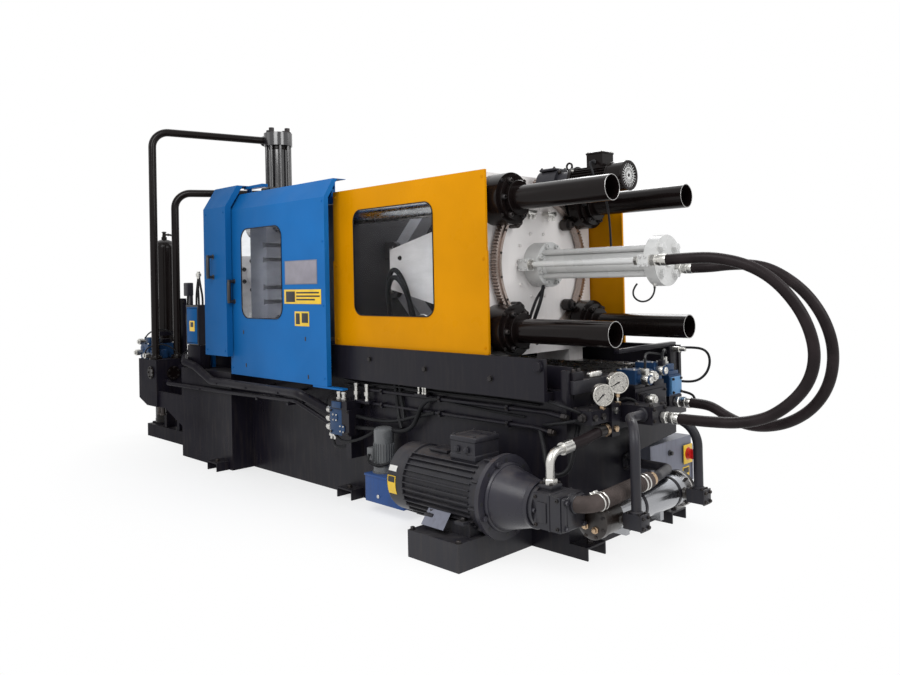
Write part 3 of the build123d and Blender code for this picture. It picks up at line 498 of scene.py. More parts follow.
# Painted shade: a much darker copy of the platen paint, standing in for the shade on the moving platen.
MOVING_GREY = Paint("moving_platen_shaded", "platen_paint", (0.055, 0.052, 0.056), rough=0.35, gloss=0.3,
                    soil=0.35,
                    mottle=0.12)
LINK_GREY = Paint("link_grey", "link_paint", (0.34, 0.34, 0.36), rough=0.42, soil=0.4, mottle=0.1)
CYLINDER_SILVER = Paint("cylinder_silver", "silver_paint", (0.575, 0.575, 0.565), rough=0.25, gloss=0.5,
                        coat=0.25,
                        dust=0.03, soil=0.15, mottle=0.05, peel=0.04)
MOTOR_GREY = Paint("motor_grey", "grey_paint", (0.0155, 0.0150, 0.0200), rough=0.38, gloss=0.3, dust=0.12,
                   soil=0.3)
CAST_GREY = Paint("cast_slate", "grey_paint", (0.0205, 0.0195, 0.0275), rough=0.3, gloss=0.36, dust=0.12,
                  mottle=0.14)
PUMP_GREY = Paint("pump_cast_grey", "pump_paint", (0.0225, 0.0220, 0.0280), rough=0.32, gloss=0.36, dust=0.1,
                  mottle=0.16)
CABINET_GREY = Paint("cabinet_paint", "cabinet_grey", (0.175, 0.182, 0.225), rough=0.42, gloss=0.25,
                     dust=0.05)
VALVE_BLUE = Paint("valve_paint", "valve_blue", (0.012, 0.042, 0.108), rough=0.34, gloss=0.25, dust=0.06,
                   soil=0.3)
TANK_BLUE = Paint("tank_paint", "tank_blue", (0.023, 0.068, 0.215), rough=0.4, gloss=0.15, dust=0.05)
VALVE_LIGHT = Paint("valve_light_blue", "valve_blue", (0.09, 0.24, 0.45), rough=0.4, gloss=0.4, dust=0.08)
LUBE_GREY = Paint("lube_motor_grey", "grey_paint", (0.115, 0.120, 0.124), rough=0.3, gloss=0.5, dust=0.1,
                  mottle=0.12)
CAP_BROWN = Paint("cap_brown", "dark_paint", (0.016, 0.011, 0.009), rough=0.3, gloss=0.5, dust=0.08,
                  mottle=0.15)
GROUND_STEEL = Steel("ground_bars", "ground_steel", (0.52, 0.51, 0.50), rough=0.26, grain=(0.2, 1.0, 1.0),
                     relief=0.02)
RING_STEEL = Steel("ring_teeth", "ring_steel", (0.44, 0.37, 0.335), rough=0.3, stain=0.45,
                   stain_colour=(0.16, 0.10, 0.08))
ZINC = Steel("zinc_plate", "zinc", (0.66, 0.65, 0.62), rough=0.27, stain=0.12,
             stain_colour=(0.35, 0.32, 0.25),
             grain_scale=700.0, relief=0.02)
# The cooler shell carries painted shade: its sides and bottom are darker than its top.
COOLER_SHELL = Steel("cooler_shell", "cooler_steel", (0.62, 0.64, 0.68), rough=0.20, grain=(1.0, 0.3, 1.0),
                     stain=0.10, stain_colour=(0.20, 0.18, 0.18), grain_scale=900.0, relief=0.0,
                     under=(0.33, 0.335, 0.35))
GAUGE_STEEL = Steel("gauge_case", "gauge_steel", (0.62, 0.60, 0.56), rough=0.18, stain=0.1)
BRASS = Steel("brass", "zinc", (0.56, 0.41, 0.27), rough=0.3, stain=0.3, stain_colour=(0.22, 0.13, 0.08),
              grain_scale=700.0, relief=0.02)
HOSE_BLACK = Rubber("hose_jacket", "hose_rubber", (0.0120, 0.0088, 0.0094), rough=0.40)
CABLE_BLACK = Rubber("cable_jacket", "hose_rubber", (0.010, 0.010, 0.011), rough=0.36, print_scale=500.0)
SEAL_BLACK = Rubber("window_seal", "hose_rubber", (0.012, 0.012, 0.013), rough=0.55)
SUCTION_CLOTH = Rubber("suction_hose_cloth", "hose_rubber", (0.050, 0.040, 0.037), rough=0.6,
                       print_scale=180.0)
HANDLE_BLACK = Plastic("handle_plastic", "black_plastic", (0.014, 0.014, 0.016), rough=0.42)
KNOB_RED = Plastic("knob_red", "red_plastic", (0.55, 0.012, 0.012), rough=0.25, coat=0.4)
PLATE_YELLOW = Plastic("switch_plate_yellow", "yellow_paint", (0.78, 0.50, 0.02), rough=0.35)
DIAL_WHITE = Plastic("dial_white", "gauge_steel", (0.70, 0.69, 0.66), rough=0.5)
SIGN_GREY = Plastic("sign_plate_grey", "gauge_steel", (0.24, 0.225, 0.26), rough=0.45)
PRINT_BLACK = Plastic("print_black", "black_plastic", (0.01, 0.01, 0.011), rough=0.5)
WINDOW = ClearSheet("window_sheet", "clear_sheet", (0.88, 0.90, 0.92), rough=0.015)
GAUGE_GLASS = ClearSheet("gauge_glass", "clear_sheet", (0.95, 0.95, 0.95))


class Bench:
    """Models pieces with Blender's own tools."""

    def __init__(self) -> None:
        """Starts an empty list of what was made."""
        self.made: list[Piece] = []

    @staticmethod
    def clear() -> None:
        """Leaves edit mode and deselects everything."""
        if bpy.context.object and bpy.context.object.mode != "OBJECT":
            bpy.ops.object.mode_set(mode="OBJECT")
        bpy.ops.object.select_all(action="DESELECT")

    @staticmethod
    def take(piece: Piece) -> None:
        """Selects one piece and makes it the active one.

        Args:
            piece: The piece.
        """
        Bench.clear()
        piece.select_set(True)
        bpy.context.view_layer.objects.active = piece

    def settle(self, piece: Piece, placement: Matrix) -> Piece:
        """Moves a piece to its place and leaves its object at the origin.

        Args:
            piece: The piece.
            placement: Where it goes and which way it points.

        Returns:
            The same piece.
        """
        self.take(piece)
        piece.matrix_world = placement @ piece.matrix_world
        bpy.ops.object.transform_apply(location=True, rotation=True, scale=True)
        return piece

    def block(self, low: Point, high: Point, edge: float = 0.002, segments: int = 2) -> Piece:
        """A block with rounded edges.

        Args:
            low: Its lowest corner.
            high: Its highest corner.
            edge: The rounding of its edges.
            segments: Steps of the rounding.

        Returns:
            The piece, not yet finished.
        """
        self.clear()
        centre = [(a + b) / 2 for a, b in zip(low, high)]
        bpy.ops.mesh.primitive_cube_add(size=1.0, location=centre)
        piece = bpy.context.object
        piece.scale = [abs(b - a) for a, b in zip(low, high)]
        bpy.ops.object.transform_apply(location=True, rotation=True, scale=True)
        bpy.ops.object.mode_set(mode="EDIT")
        bpy.ops.mesh.select_all(action="SELECT")
        bpy.ops.mesh.bevel(offset=edge, segments=segments, affect="EDGES")
        bpy.ops.object.mode_set(mode="OBJECT")
        return piece

    def turned(self, profile: Profile, sides: int = 32) -> Piece:
        """A piece turned about +Z, built up by extruding its top face.

        Args:
            profile: Pairs of height and radius, upwards first.
            sides: Faces around.

        Returns:
            The piece, not yet placed.
        """
        self.clear()
        (h0, r0), (h1, r1) = profile[0], profile[1]
        bpy.ops.mesh.primitive_cone_add(vertices=sides, radius1=r0, radius2=r1, depth=h1 - h0,
                                        location=(0, 0, (h0 + h1) / 2))
        piece = bpy.context.object
        bpy.ops.object.transform_apply(location=True, rotation=True, scale=True)
        bpy.ops.object.mode_set(mode="EDIT")
        self.pick_faces(piece, lambda f: f.normal.z > 0.99 and len(f.verts) == sides)
        last_h, last_r = h1, r1
        for h, r in profile[2:]:
            bpy.ops.mesh.extrude_region_move(TRANSFORM_OT_translate={"value": (0, 0, h - last_h)})
            if abs(r - last_r) > 1e-9:
                bpy.ops.transform.resize(value=(r / last_r, r / last_r, 1.0), center_override=(0, 0, h))
            last_h, last_r = h, r
        bpy.ops.object.mode_set(mode="OBJECT")
        return piece

    @staticmethod
    def pick_faces(piece: Piece, wanted: Callable[[bmesh.types.BMFace], bool]) -> int:
        """Selects the faces of a mesh in edit mode that pass a test.

        Args:
            piece: The piece, which is in edit mode.
            wanted: The test of a face.

        Returns:
            How many faces are selected.
        """
        bpy.ops.mesh.select_mode(type="FACE")
        bpy.ops.mesh.select_all(action="DESELECT")
        mesh = bmesh.from_edit_mesh(piece.data)
        count = 0
        for face in mesh.faces:
            if wanted(face):
                face.select_set(True)
                count += 1
        bmesh.update_edit_mesh(piece.data)
        return count

    def wire(self, points: Sequence[Point], radius: float, name: str = "wire", steps: int = 6) -> Piece:
        """A held pipe or cable along a smooth line, as a closed mesh.

        Args:
            points: The points that guide it.
            radius: Its radius.
            name: A working name.
            steps: Steps along each run.

        Returns:
            The piece, not yet finished.
        """
        curve = self.spline(points, radius, name, steps)
        self.take(curve)
        bpy.ops.object.convert(target="MESH")
        piece = bpy.context.object
        self.take(piece)
        bpy.ops.object.mode_set(mode="EDIT")
        bpy.ops.mesh.select_all(action="SELECT")
        bpy.ops.mesh.remove_doubles(threshold=0.00005)
        bpy.ops.mesh.normals_make_consistent(inside=False)
        bpy.ops.object.mode_set(mode="OBJECT")
        return piece

    @staticmethod
    def spline(points: Sequence[Point], radius: float, name: str, steps: int) -> Piece:
        """A round curve with the points as its control points.

        Args:
            points: The line's control points.
            radius: The line's radius.
            name: The line's name.
            steps: Steps along each run.

        Returns:
            The curve.
        """
        data = bpy.data.curves.new(name, "CURVE")
        data.dimensions = "3D"
        data.bevel_depth = radius
        data.bevel_resolution = 5
        data.resolution_u = steps
        data.use_fill_caps = True
        line = data.splines.new("NURBS")
        line.points.add(len(points) - 1)
        for knot, point in zip(line.points, points):
            knot.co = (*point, 1.0)
        line.order_u = 3
        line.use_endpoint_u = True
        piece = bpy.data.objects.new(name, data)
        bpy.context.scene.collection.objects.link(piece)
        return piece

    def bolt(self, radius: float, height: float, socket: bool = True) -> Piece:
        """A cap screw or hexagon bolt head with a washer, standing on the origin.

        Args:
            radius: Of the head.
            height: Of the head.
            socket: A round head with a hexagon socket, or else a hexagon head.

        Returns:
            The master piece.
        """
        washer = 0.12 * height
        sides = 24 if socket else 6
        piece = self.turned([(washer, radius), (washer + height * 0.88, radius),
                             (washer + height, radius * 0.9),
                             (washer + height, radius * 0.52)], sides)
        self.take(piece)
        bpy.ops.object.mode_set(mode="EDIT")
        depth = -0.5 * height if socket else 0.04 * height
        bpy.ops.mesh.select_mode(type="FACE")
        self.pick_faces(piece, lambda f: f.normal.z > 0.99 and len(f.verts) == sides)
        bpy.ops.mesh.extrude_region_move(TRANSFORM_OT_translate={"value": (0, 0, depth)})
        bpy.ops.object.mode_set(mode="OBJECT")
        flat = self.turned([(0.0, radius * 1.3), (washer, radius * 1.3), (washer, radius * 0.9)], 24)
        return self.weld([piece, flat])

    def weld(self, pieces: Sequence[Piece]) -> Piece:
        """Joins pieces into the first one.

        Args:
            pieces: The pieces, of which the first takes up the others.

        Returns:
            The first piece, which now holds them all.
        """
        self.clear()
        for piece in pieces:
            piece.select_set(True)
        bpy.context.view_layer.objects.active = pieces[0]
        if len(pieces) > 1:
            bpy.ops.object.join()
        return pieces[0]

    def stamp(self, master: Piece, places: Iterable[Matrix]) -> Piece:
        """Copies a master to each place and joins the copies.

        Args:
            master: The piece to copy, which is used up.
            places: Where the copies go.

        Returns:
            The copies as one piece.
        """
        copies = []
        for place in places:
            copy = master.copy()
            copy.data = master.data.copy()
            bpy.context.scene.collection.objects.link(copy)
            copy.data.transform(place)
            copies.append(copy)
        bpy.data.objects.remove(master, do_unlink=True)
        return self.weld(copies)

    def finish(self, piece: Piece, name: str, finish: Finish, body: str = "frame",
               smooth: float = 35.0) -> Piece:
        """Names a piece, gives it its finish and lets it ride on a body.

        Args:
            piece: The piece.
            name: Its name.
            finish: Its finish.
            body: The CAD body that it moves with.
            smooth: The angle in degrees up to which edges look round.

        Returns:
            The finished piece.
        """
        self.take(piece)
        piece.name = name
        piece.data.name = name
        piece.data.materials.clear()
        piece.data.materials.append(finish.material())
        if piece.type == "MESH":
            bpy.ops.object.shade_smooth_by_angle(angle=math.radians(smooth))
        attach(piece, body)
        self.made.append(piece)
        LOG.info("made %s on %s", name, body)
        return piece

    def bolts(self, name: str, radius: float, height: float, places: Sequence[Matrix], finish: Finish,
              socket: bool = True, body: str = "frame") -> Piece:
        """Screws or bolts of one size, joined into one piece.

        Args:
            name: The piece's name.
            radius: Of a head.
            height: Of a head.
            places: Where the heads stand.
            finish: Its finish.
            socket: Round heads with a hexagon socket, or else hexagon heads.
            body: The CAD body that it moves with.

        Returns:
            The finished piece.
        """
        return self.finish(self.stamp(self.bolt(radius, height, socket), places), name, finish, body)

    def discs(self, name: str, radius: float, height: float, places: Sequence[Matrix], finish: Finish,
              body: str = "frame") -> Piece:
        """Flat round buttons with a broken edge, joined into one piece."""
        disc = self.turned([(0.0, radius), (height * 0.7, radius), (height, radius - height * 0.3)], 28)
        return self.finish(self.stamp(disc, places), name, finish, body)

    def cap(self, name: str, placement: Matrix, profile: Profile, finish: Finish, sides: int = 32,
            body: str = "frame") -> Piece:
        """A turned piece at a place.

        Args:
            name: The piece's name.
            placement: Where its base stands and which way it points.
            profile: Pairs of height and radius.
            finish: Its finish.
            sides: Faces around.
            body: The CAD body that it moves with.

        Returns:
            The finished piece.
        """
        return self.finish(self.settle(self.turned(profile, sides), placement), name, finish, body)

    def tube(self, name: str, points: Sequence[Point], radius: float, finish: Finish,
             body: str = "frame") -> Piece:
        """A clipped cable or pipe along a smooth line."""
        return self.finish(self.wire(points, radius, name), name, finish, body)

    def block_piece(self, name: str, low: Point, high: Point, finish: Finish, edge: float = 0.003,
                    segments: int = 2, body: str = "frame") -> Piece:
        """A finished block with rounded edges."""
        return self.finish(self.block(low, high, edge, segments), name, finish, body)

    def frame_piece(self, name: str, box: tuple[float, float, float, float], y: float, corner: float,
                    width: float,
                    thick: float, finish: Finish, body: str = "frame") -> Piece:
        """A seal or rim round an opening in an upright sheet.

        Args:
            name: The piece's name.
            box: The opening's lowest and highest X, then Z.
            y: The middle of the seal.
            corner: The opening's corner radius.
            width: Of the seal, half of it over the opening's edge.
            thick: Of the seal.
            finish: Its finish.
            body: The CAD body that it moves with.

        Returns:
            The finished piece.
        """
        x0, x1, z0, z1 = box
        self.clear()
        bpy.ops.mesh.primitive_plane_add(size=1.0)
        piece = bpy.context.object
        piece.scale = (x1 - x0 + width, z1 - z0 + width, 1.0)
        bpy.ops.object.transform_apply(location=True, rotation=True, scale=True)
        bpy.ops.object.mode_set(mode="EDIT")
        bpy.ops.mesh.select_all(action="SELECT")
        bpy.ops.mesh.bevel(offset=corner + width / 2, segments=10, affect="VERTICES")
        self.pick_faces(piece, lambda f: True)
        bpy.ops.mesh.inset(thickness=width)
        bpy.ops.mesh.delete(type="FACE")
        bpy.ops.mesh.select_all(action="SELECT")
        bpy.ops.mesh.extrude_region_move(TRANSFORM_OT_translate={"value": (0, 0, thick)})
        bpy.ops.mesh.select_all(action="SELECT")
        bpy.ops.mesh.normals_make_consistent(inside=False)
        bpy.ops.object.mode_set(mode="OBJECT")
        place = Matrix.Translation(((x0 + x1) / 2, y + thick / 2,
                                    (z0 + z1) / 2)) @ Matrix.Rotation(math.pi / 2, 4, "X")
        return self.finish(self.settle(piece, place), name, finish, body)

    def eye(self, name: str, point: Point, radius: float, wire_radius: float, finish: Finish,
            body: str = "frame") -> Piece:
        """A lifting eye on its collar, standing on a point.

        Args:
            name: The piece's name.
            point: Where its collar stands.
            radius: Of the ring.
            wire_radius: Of the ring's wire.
            finish: Its finish.
            body: The CAD body that it moves with.

        Returns:
            The finished piece.
        """
        self.clear()
        bpy.ops.mesh.primitive_torus_add(major_radius=radius, minor_radius=wire_radius, major_segments=32,
                                         minor_segments=12)
        ring = bpy.context.object
        upright = Matrix.Rotation(math.pi / 2, 4, "X")
        self.settle(ring, Matrix.Translation((0, 0, radius + 1.9 * wire_radius)) @ upright)
        foot = self.turned([(0.0, 2.0 * wire_radius), (0.7 * wire_radius, 2.0 * wire_radius),
                            (wire_radius, 1.7 * wire_radius), (1.4 * wire_radius, 1.1 * wire_radius),
                            (2.4 * wire_radius, wire_radius)], 24)
        piece = self.weld([ring, foot])
        return self.finish(self.settle(piece, Matrix.Translation(point)), name, finish, body)

    def band(self, radius: float, wire_radius: float, flat: float) -> Piece:
        """A ring about +Z whose section is flattened along the axis.

        Args:
            radius: Of the ring.
            wire_radius: Of the ring's section.
            flat: The section's height over its width.

        Returns:
            The ring, not yet placed.
        """
        self.clear()
        bpy.ops.mesh.primitive_torus_add(major_radius=radius, minor_radius=wire_radius, major_segments=56,
                                         minor_segments=10)
        piece = bpy.context.object
        bpy.ops.object.mode_set(mode="EDIT")
        bpy.ops.mesh.select_all(action="SELECT")
        bpy.ops.transform.resize(value=(1.0, 1.0, flat), center_override=(0, 0, 0))
        bpy.ops.object.mode_set(mode="OBJECT")
        return piece

    def tilted_plate(self, name: str, centre: Point, half_size: Point, tilt_deg: float,
                     finish: Finish) -> Piece:
        """A thin plate turned about X.

        Args:
            name: The piece's name.
            centre: The plate's middle.
            half_size: Half its size by axis.
            tilt_deg: Its turn about X, in degrees.
            finish: Its finish.

        Returns:
            The finished piece.
        """
        low = tuple(-h for h in half_size)
        plate = self.block(low, half_size, min(half_size) * 0.6, 1)
        place = Matrix.Translation(centre) @ Matrix.Rotation(math.radians(tilt_deg), 4, "X")
        return self.finish(self.settle(plate, place), name, finish)

    def sleeve(self, name: str, centre: Vector, along: Vector, length: float, radius: float,
               finish: Finish) -> Piece:
        """A round collar on a hose or pipe.

        Args:
            name: The piece's name.
            centre: The collar's middle.
            along: The direction of the pipe.
            length: Of the collar.
            radius: Of the collar.
            finish: Its finish.

        Returns:
            The finished piece.
        """
        half = length / 2
        profile = [(-half, radius * 0.95), (-half + 0.002, radius), (half - 0.002, radius),
                   (half, radius * 0.95)]
        turn = Vector((0, 0, 1)).rotation_difference(along).to_matrix().to_4x4()
        return self.finish(self.settle(self.turned(profile, 40), Matrix.Translation(centre) @ turn), name,
                           finish)

    def numeral(self, text: str, height: float, placement: Matrix) -> Piece:
        """A raised numeral in the XY plane of a placement.

        Args:
            text: The numeral.
            height: Of the numeral.
            placement: Where it goes and which way it points.

        Returns:
            The piece, not yet finished.
        """
        self.clear()
        bpy.ops.object.text_add()
        piece = bpy.context.object
        piece.data.body = text
        piece.data.size = height
        piece.data.extrude = 0.0002
        piece.data.align_x = "CENTER"
        piece.data.align_y = "CENTER"
        piece.data.resolution_u = 3
        bpy.ops.object.convert(target="MESH")
        piece = bpy.context.object
        bpy.ops.object.mode_set(mode="EDIT")
        bpy.ops.mesh.select_all(action="SELECT")
        bpy.ops.mesh.remove_doubles(threshold=0.000001)
        bpy.ops.object.mode_set(mode="OBJECT")
        return self.settle(piece, placement)


def ring_of(centre: Point, way: Way, radius: float, count: int, start_deg: float = 0.0) -> list[Matrix]:
    """Placements around a circle.

    Args:
        centre: The circle's centre, on the face that carries the pieces.
        way: The direction of the pieces.
        radius: Of the circle.
        count: How many.
        start_deg: The first one's angle.

    Returns:
        One placement for each.
    """
    frame = way.at(centre)
    places = []
    for i in range(count):
        at = math.radians(start_deg) + 2 * math.pi * i / count
        places.append(frame @ Matrix.Translation((radius * math.cos(at), radius * math.sin(at), 0.0)))
    return places


@dataclass
class Studio:
    """Camera, floor, lamps and surroundings of the picture."""

    eye: Point = (5.011, -3.558, 1.34)
    turn_deg: float = 45.351
    tilt_deg: float = 0.614
    roll_deg: float = -1.205
    focal_px: float = 797.44
    centre_row: float = 272.0
    frame_size: tuple[int, int] = (900, 675)
    floor_glow: float = 0.62
    floor_fade: float = 1.9
    lamps: tuple[tuple[Point, float, float], ...] = (
        ((3.0, -4.5, 5.0), 3.5, 230.0),
        ((6.5, 0.5, 3.8), 2.8, 120.0),
        ((-3.5, -4.5, 4.2), 3.0, 22.0),
        ((0.5, 3.8, 4.8), 3.0, 120.0),
    )

    def camera(self) -> None:
        """Places the camera at the photograph's viewpoint."""
        a, t, r = (math.radians(v) for v in (self.turn_deg, self.tilt_deg, self.roll_deg))
        forward = Vector((-math.sin(a) * math.cos(t), math.cos(a) * math.cos(t), math.sin(t)))
        right = Vector((math.cos(a), math.sin(a), 0.0))
        up = right.cross(forward)
        right, up = math.cos(r) * right + math.sin(r) * up, math.cos(r) * up - math.sin(r) * right
        basis = Matrix((right, up, -forward)).transposed().to_4x4()
        basis.translation = Vector(self.eye)
        bpy.ops.object.camera_add()
        camera = bpy.context.object
        camera.name = "picture_camera"
        camera.matrix_world = basis
        camera.data.sensor_width = 36.0
        camera.data.lens = 36.0 * self.focal_px / self.frame_size[0]
        camera.data.shift_y = (self.centre_row - self.frame_size[1] / 2) / self.frame_size[0]
        bpy.context.scene.camera = camera

    def light(self) -> None:
        """Places the soft lamps, which point at the middle of the machine."""
        target = Vector((0.9, 0.0, 1.0))
        for i, (place, size, power) in enumerate(self.lamps):
            bpy.ops.object.light_add(type="AREA", location=place)
            lamp = bpy.context.object
            lamp.name = f"soft_lamp_{i}"
            lamp.data.shape = "SQUARE"
            lamp.data.size = size
            lamp.data.energy = power
            lamp.rotation_euler = (target - Vector(place)).to_track_quat("-Z", "Y").to_euler()

    def surroundings(self) -> None:
        """A pale world that metal, glass and the camera see as white."""
        world = bpy.data.worlds.new("pale_room")
        bpy.context.scene.world = world
        world.use_nodes = True
        tree = world.node_tree
        tree.nodes.clear()
        soft = tree.nodes.new("ShaderNodeBackground")
        soft.inputs["Color"].default_value = (0.93, 0.96, 1.0, 1.0)
        soft.inputs["Strength"].default_value = 0.55
        white = tree.nodes.new("ShaderNodeBackground")
        white.inputs["Color"].default_value = (1.0, 1.0, 1.0, 1.0)
        paths = tree.nodes.new("ShaderNodeLightPath")
        seen = paths.outputs["Is Camera Ray"]
        for other in ("Is Glossy Ray", "Is Transmission Ray"):
            larger = tree.nodes.new("ShaderNodeMath")
            larger.operation = "MAXIMUM"
            tree.links.new(seen, larger.inputs[0])
            tree.links.new(paths.outputs[other], larger.inputs[1])
            seen = larger.outputs["Value"]
        mix = tree.nodes.new("ShaderNodeMixShader")
        output = tree.nodes.new("ShaderNodeOutputWorld")
        tree.links.new(seen, mix.inputs[0])
        tree.links.new(soft.outputs[0], mix.inputs[1])
        tree.links.new(white.outputs[0], mix.inputs[2])
        tree.links.new(mix.outputs[0], output.inputs["Surface"])

    def floor(self) -> None:
        """A plain pale floor that keeps the machine's shadow."""
        Bench.clear()
        bpy.ops.mesh.primitive_plane_add(size=60.0, location=(0.5, 0.0, 0.0))
        floor = bpy.context.object
        floor.name = "pale_floor"
        sheet = NodeSheet("pale_floor")
        sheet.join(sheet.blend(sheet.noise(0.8, 3.0), (0.92, 0.92, 0.92), (0.95, 0.95, 0.95)),
                   sheet.shader.inputs["Base Color"])
        sheet.set(Roughness=0.9, Specular_IOR_Level=0.1)
        away = sheet.add("ShaderNodeVectorMath")
        away.operation = "LENGTH"
        sheet.join(sheet.stretched((0.62, 1.0, 1.0)), away.inputs[0])
        glow = sheet.add("ShaderNodeEmission")
        glow.inputs["Strength"].default_value = 1.0
        fade = sheet.add("ShaderNodeMixShader")
        sheet.join(sheet.spread(away.outputs["Value"], self.floor_glow, 1.0, 0.7, self.floor_fade),
                   fade.inputs["Fac"])
        sheet.join(sheet.shader.outputs["BSDF"], fade.inputs[1])
        sheet.join(glow.outputs["Emission"], fade.inputs[2])
        sheet.join(fade.outputs["Shader"], sheet.output.inputs["Surface"])
        floor.data.materials.append(sheet.material)
        bpy.context.scene.view_settings.view_transform = "Standard"

    def build(self) -> None:
        """Builds the whole studio."""
        self.camera()
        self.light()
        self.surroundings()
        self.floor()


@dataclass
class ClosingHoses:
    """The two free hoses that return from the closing cylinder to the end manifold."""

    diameter: float = 0.052
    inner_length: float = 1.660
    outer_length: float = 1.849
    inner_route: tuple[Point, ...] = (
        (3.040, -0.155, 1.418), (3.165, -0.155, 1.423), (3.276, -0.130, 1.420), (3.405, -0.100, 1.386),
        (3.516, -0.078, 1.316), (3.601, -0.052, 1.206), (3.647, -0.032, 1.096), (3.662, -0.018, 0.985),
        (3.640, -0.020, 0.880), (3.584, -0.035, 0.792), (3.490, -0.055, 0.712), (3.409, -0.070, 0.680),
        (3.328, -0.088, 0.664), (3.241, -0.098, 0.659), (3.140, -0.100, 0.656), (3.052, -0.100, 0.655))
    outer_route: tuple[Point, ...] = (
        (3.040, 0.088, 1.378), (3.125, 0.088, 1.378), (3.210, 0.118, 1.388), (3.310, 0.155, 1.388),
        (3.405, 0.182, 1.360), (3.520, 0.204, 1.274), (3.596, 0.220, 1.168), (3.639, 0.232, 1.050),
        (3.646, 0.238, 0.935), (3.616, 0.246, 0.815), (3.545, 0.258, 0.711), (3.440, 0.272, 0.634),
        (3.324, 0.284, 0.592), (3.201, 0.300, 0.582), (3.090, 0.320, 0.610), (3.000, 0.335, 0.652),
        (2.940, 0.335, 0.662), (2.877, 0.335, 0.662))

    def build(self, bench: Bench) -> None:
        """Lays both hoses along their routes.

        Args:
            bench: The bench that models the pieces.
        """
        for name, route, length in (("inner", self.inner_route, self.inner_length),
                                    ("outer", self.outer_route, self.outer_length)):
            hose = bench.spline(route, self.diameter / 2, f"return_hose_{name}", 10)
            hose.data.bevel_resolution = 8
            bench.finish(hose, f"return_hose_{name}", HOSE_BLACK)
            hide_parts(f"closing_hose_{name}")


@dataclass
class ClosingCylinderDetails:
    """Bolts, plugs and fittings of the closing cylinder."""

    axis_z: float = 1.418
    base_x: float = 2.220
    end_x: float = 2.952
    bolt_r: float = 0.092
    hose_y: float = 0.155
    outer_start: Point = (2.952, 0.088, 1.378)

    def build(self, bench: Bench) -> None:
        """Builds the cylinder's fine pieces.

        Args:
            bench: The bench that models the pieces.
        """
        silver = CYLINDER_SILVER
        centre = (self.end_x, 0.0, self.axis_z)
        bench.bolts("end_flange_bolts", 0.023, 0.020, ring_of(centre, Way.RIGHT, self.bolt_r, 4, 45.0),
                    silver,
                    socket=False)
        bench.cap("end_flange_plug", Way.RIGHT.at(centre),
                  [(0, 0.034), (0.006, 0.034), (0.010, 0.030), (0.010, 0.021), (0.004, 0.019)], silver)
        bench.cap("end_flange_lip", Way.RIGHT.at((2.884, 0, self.axis_z)),
                  [(0, 0.086), (0.006, 0.090), (0.012, 0.086)], silver, 48)
        bench.bolts("base_flange_bolts", 0.013, 0.014,
                    ring_of((self.base_x, 0, self.axis_z), Way.RIGHT, 0.108, 8, 22.5),
                    silver, socket=True)
        bench.cap("barrel_gland", Way.RIGHT.at((self.base_x - 0.002, 0, self.axis_z)),
                  [(0, 0.090), (0.012, 0.088), (0.018, 0.080)], silver, 48)
        block_spots = [Way.FRONT.at((x, -0.178 if x < 2.5 else -0.180, self.axis_z + dz))
                       for x in (2.147, 2.181, 2.905, 2.933) for dz in (-0.019, 0.019)]
        bench.bolts("port_block_bolts", 0.0075, 0.008, block_spots, silver)
        nuts = [Way.RIGHT.at((2.198, -0.154, self.axis_z)), Way.LEFT.at((2.890, -0.154, self.axis_z))]
        bench.bolts("port_pipe_nuts", 0.024, 0.026, nuts, ZINC, socket=False)
        for name, y, z in (("inner", -self.hose_y, self.axis_z),
                           ("outer", self.outer_start[1], self.outer_start[2])):
            bench.cap(f"hose_hex_{name}", Way.RIGHT.at((2.953, y, z)),
                      [(0, 0.026), (0.004, 0.030), (0.026, 0.030), (0.030, 0.026)], ZINC, 6)
            bench.cap(f"hose_ferrule_{name}", Way.RIGHT.at((2.992, y, z)),
                      [(0, 0.0265), (0.003, 0.0285), (0.020, 0.0285), (0.022, 0.027), (0.024, 0.0285),
                       (0.044, 0.0285), (0.048, 0.0275)], ZINC)
        bench.tube("limit_cable", [(2.905, -0.05, 1.296), (2.912, -0.06, 1.262), (2.905, -0.10, 1.222),
                                   (2.885, -0.15, 1.214), (2.86, -0.175, 1.24), (2.855, -0.168, 1.28),
                                   (2.868, -0.150, 1.305)], 0.0045, CABLE_BLACK)
        bench.cap("limit_sensor", Way.DOWN.at((2.905, -0.05, 1.306)),
                  [(0, 0.010), (0.010, 0.010), (0.012, 0.007), (0.026, 0.007)], ZINC, 6)
        bench.tube("wipe_cable",
                   [(2.24, -0.10, 1.30), (2.26, -0.14, 1.24), (2.25, -0.16, 1.18), (2.22, -0.17, 1.10),
                    (2.20, -0.16, 1.02), (2.19, -0.10, 0.98)], 0.010, CABLE_BLACK)
        bench.tube("wipe_cable_second", [(2.23, -0.08, 1.29), (2.25, -0.16, 1.25), (2.24, -0.20, 1.17),
                                         (2.21, -0.20, 1.09), (2.19, -0.14, 1.01), (2.185, -0.06, 0.98)],
                   0.008, CABLE_BLACK)


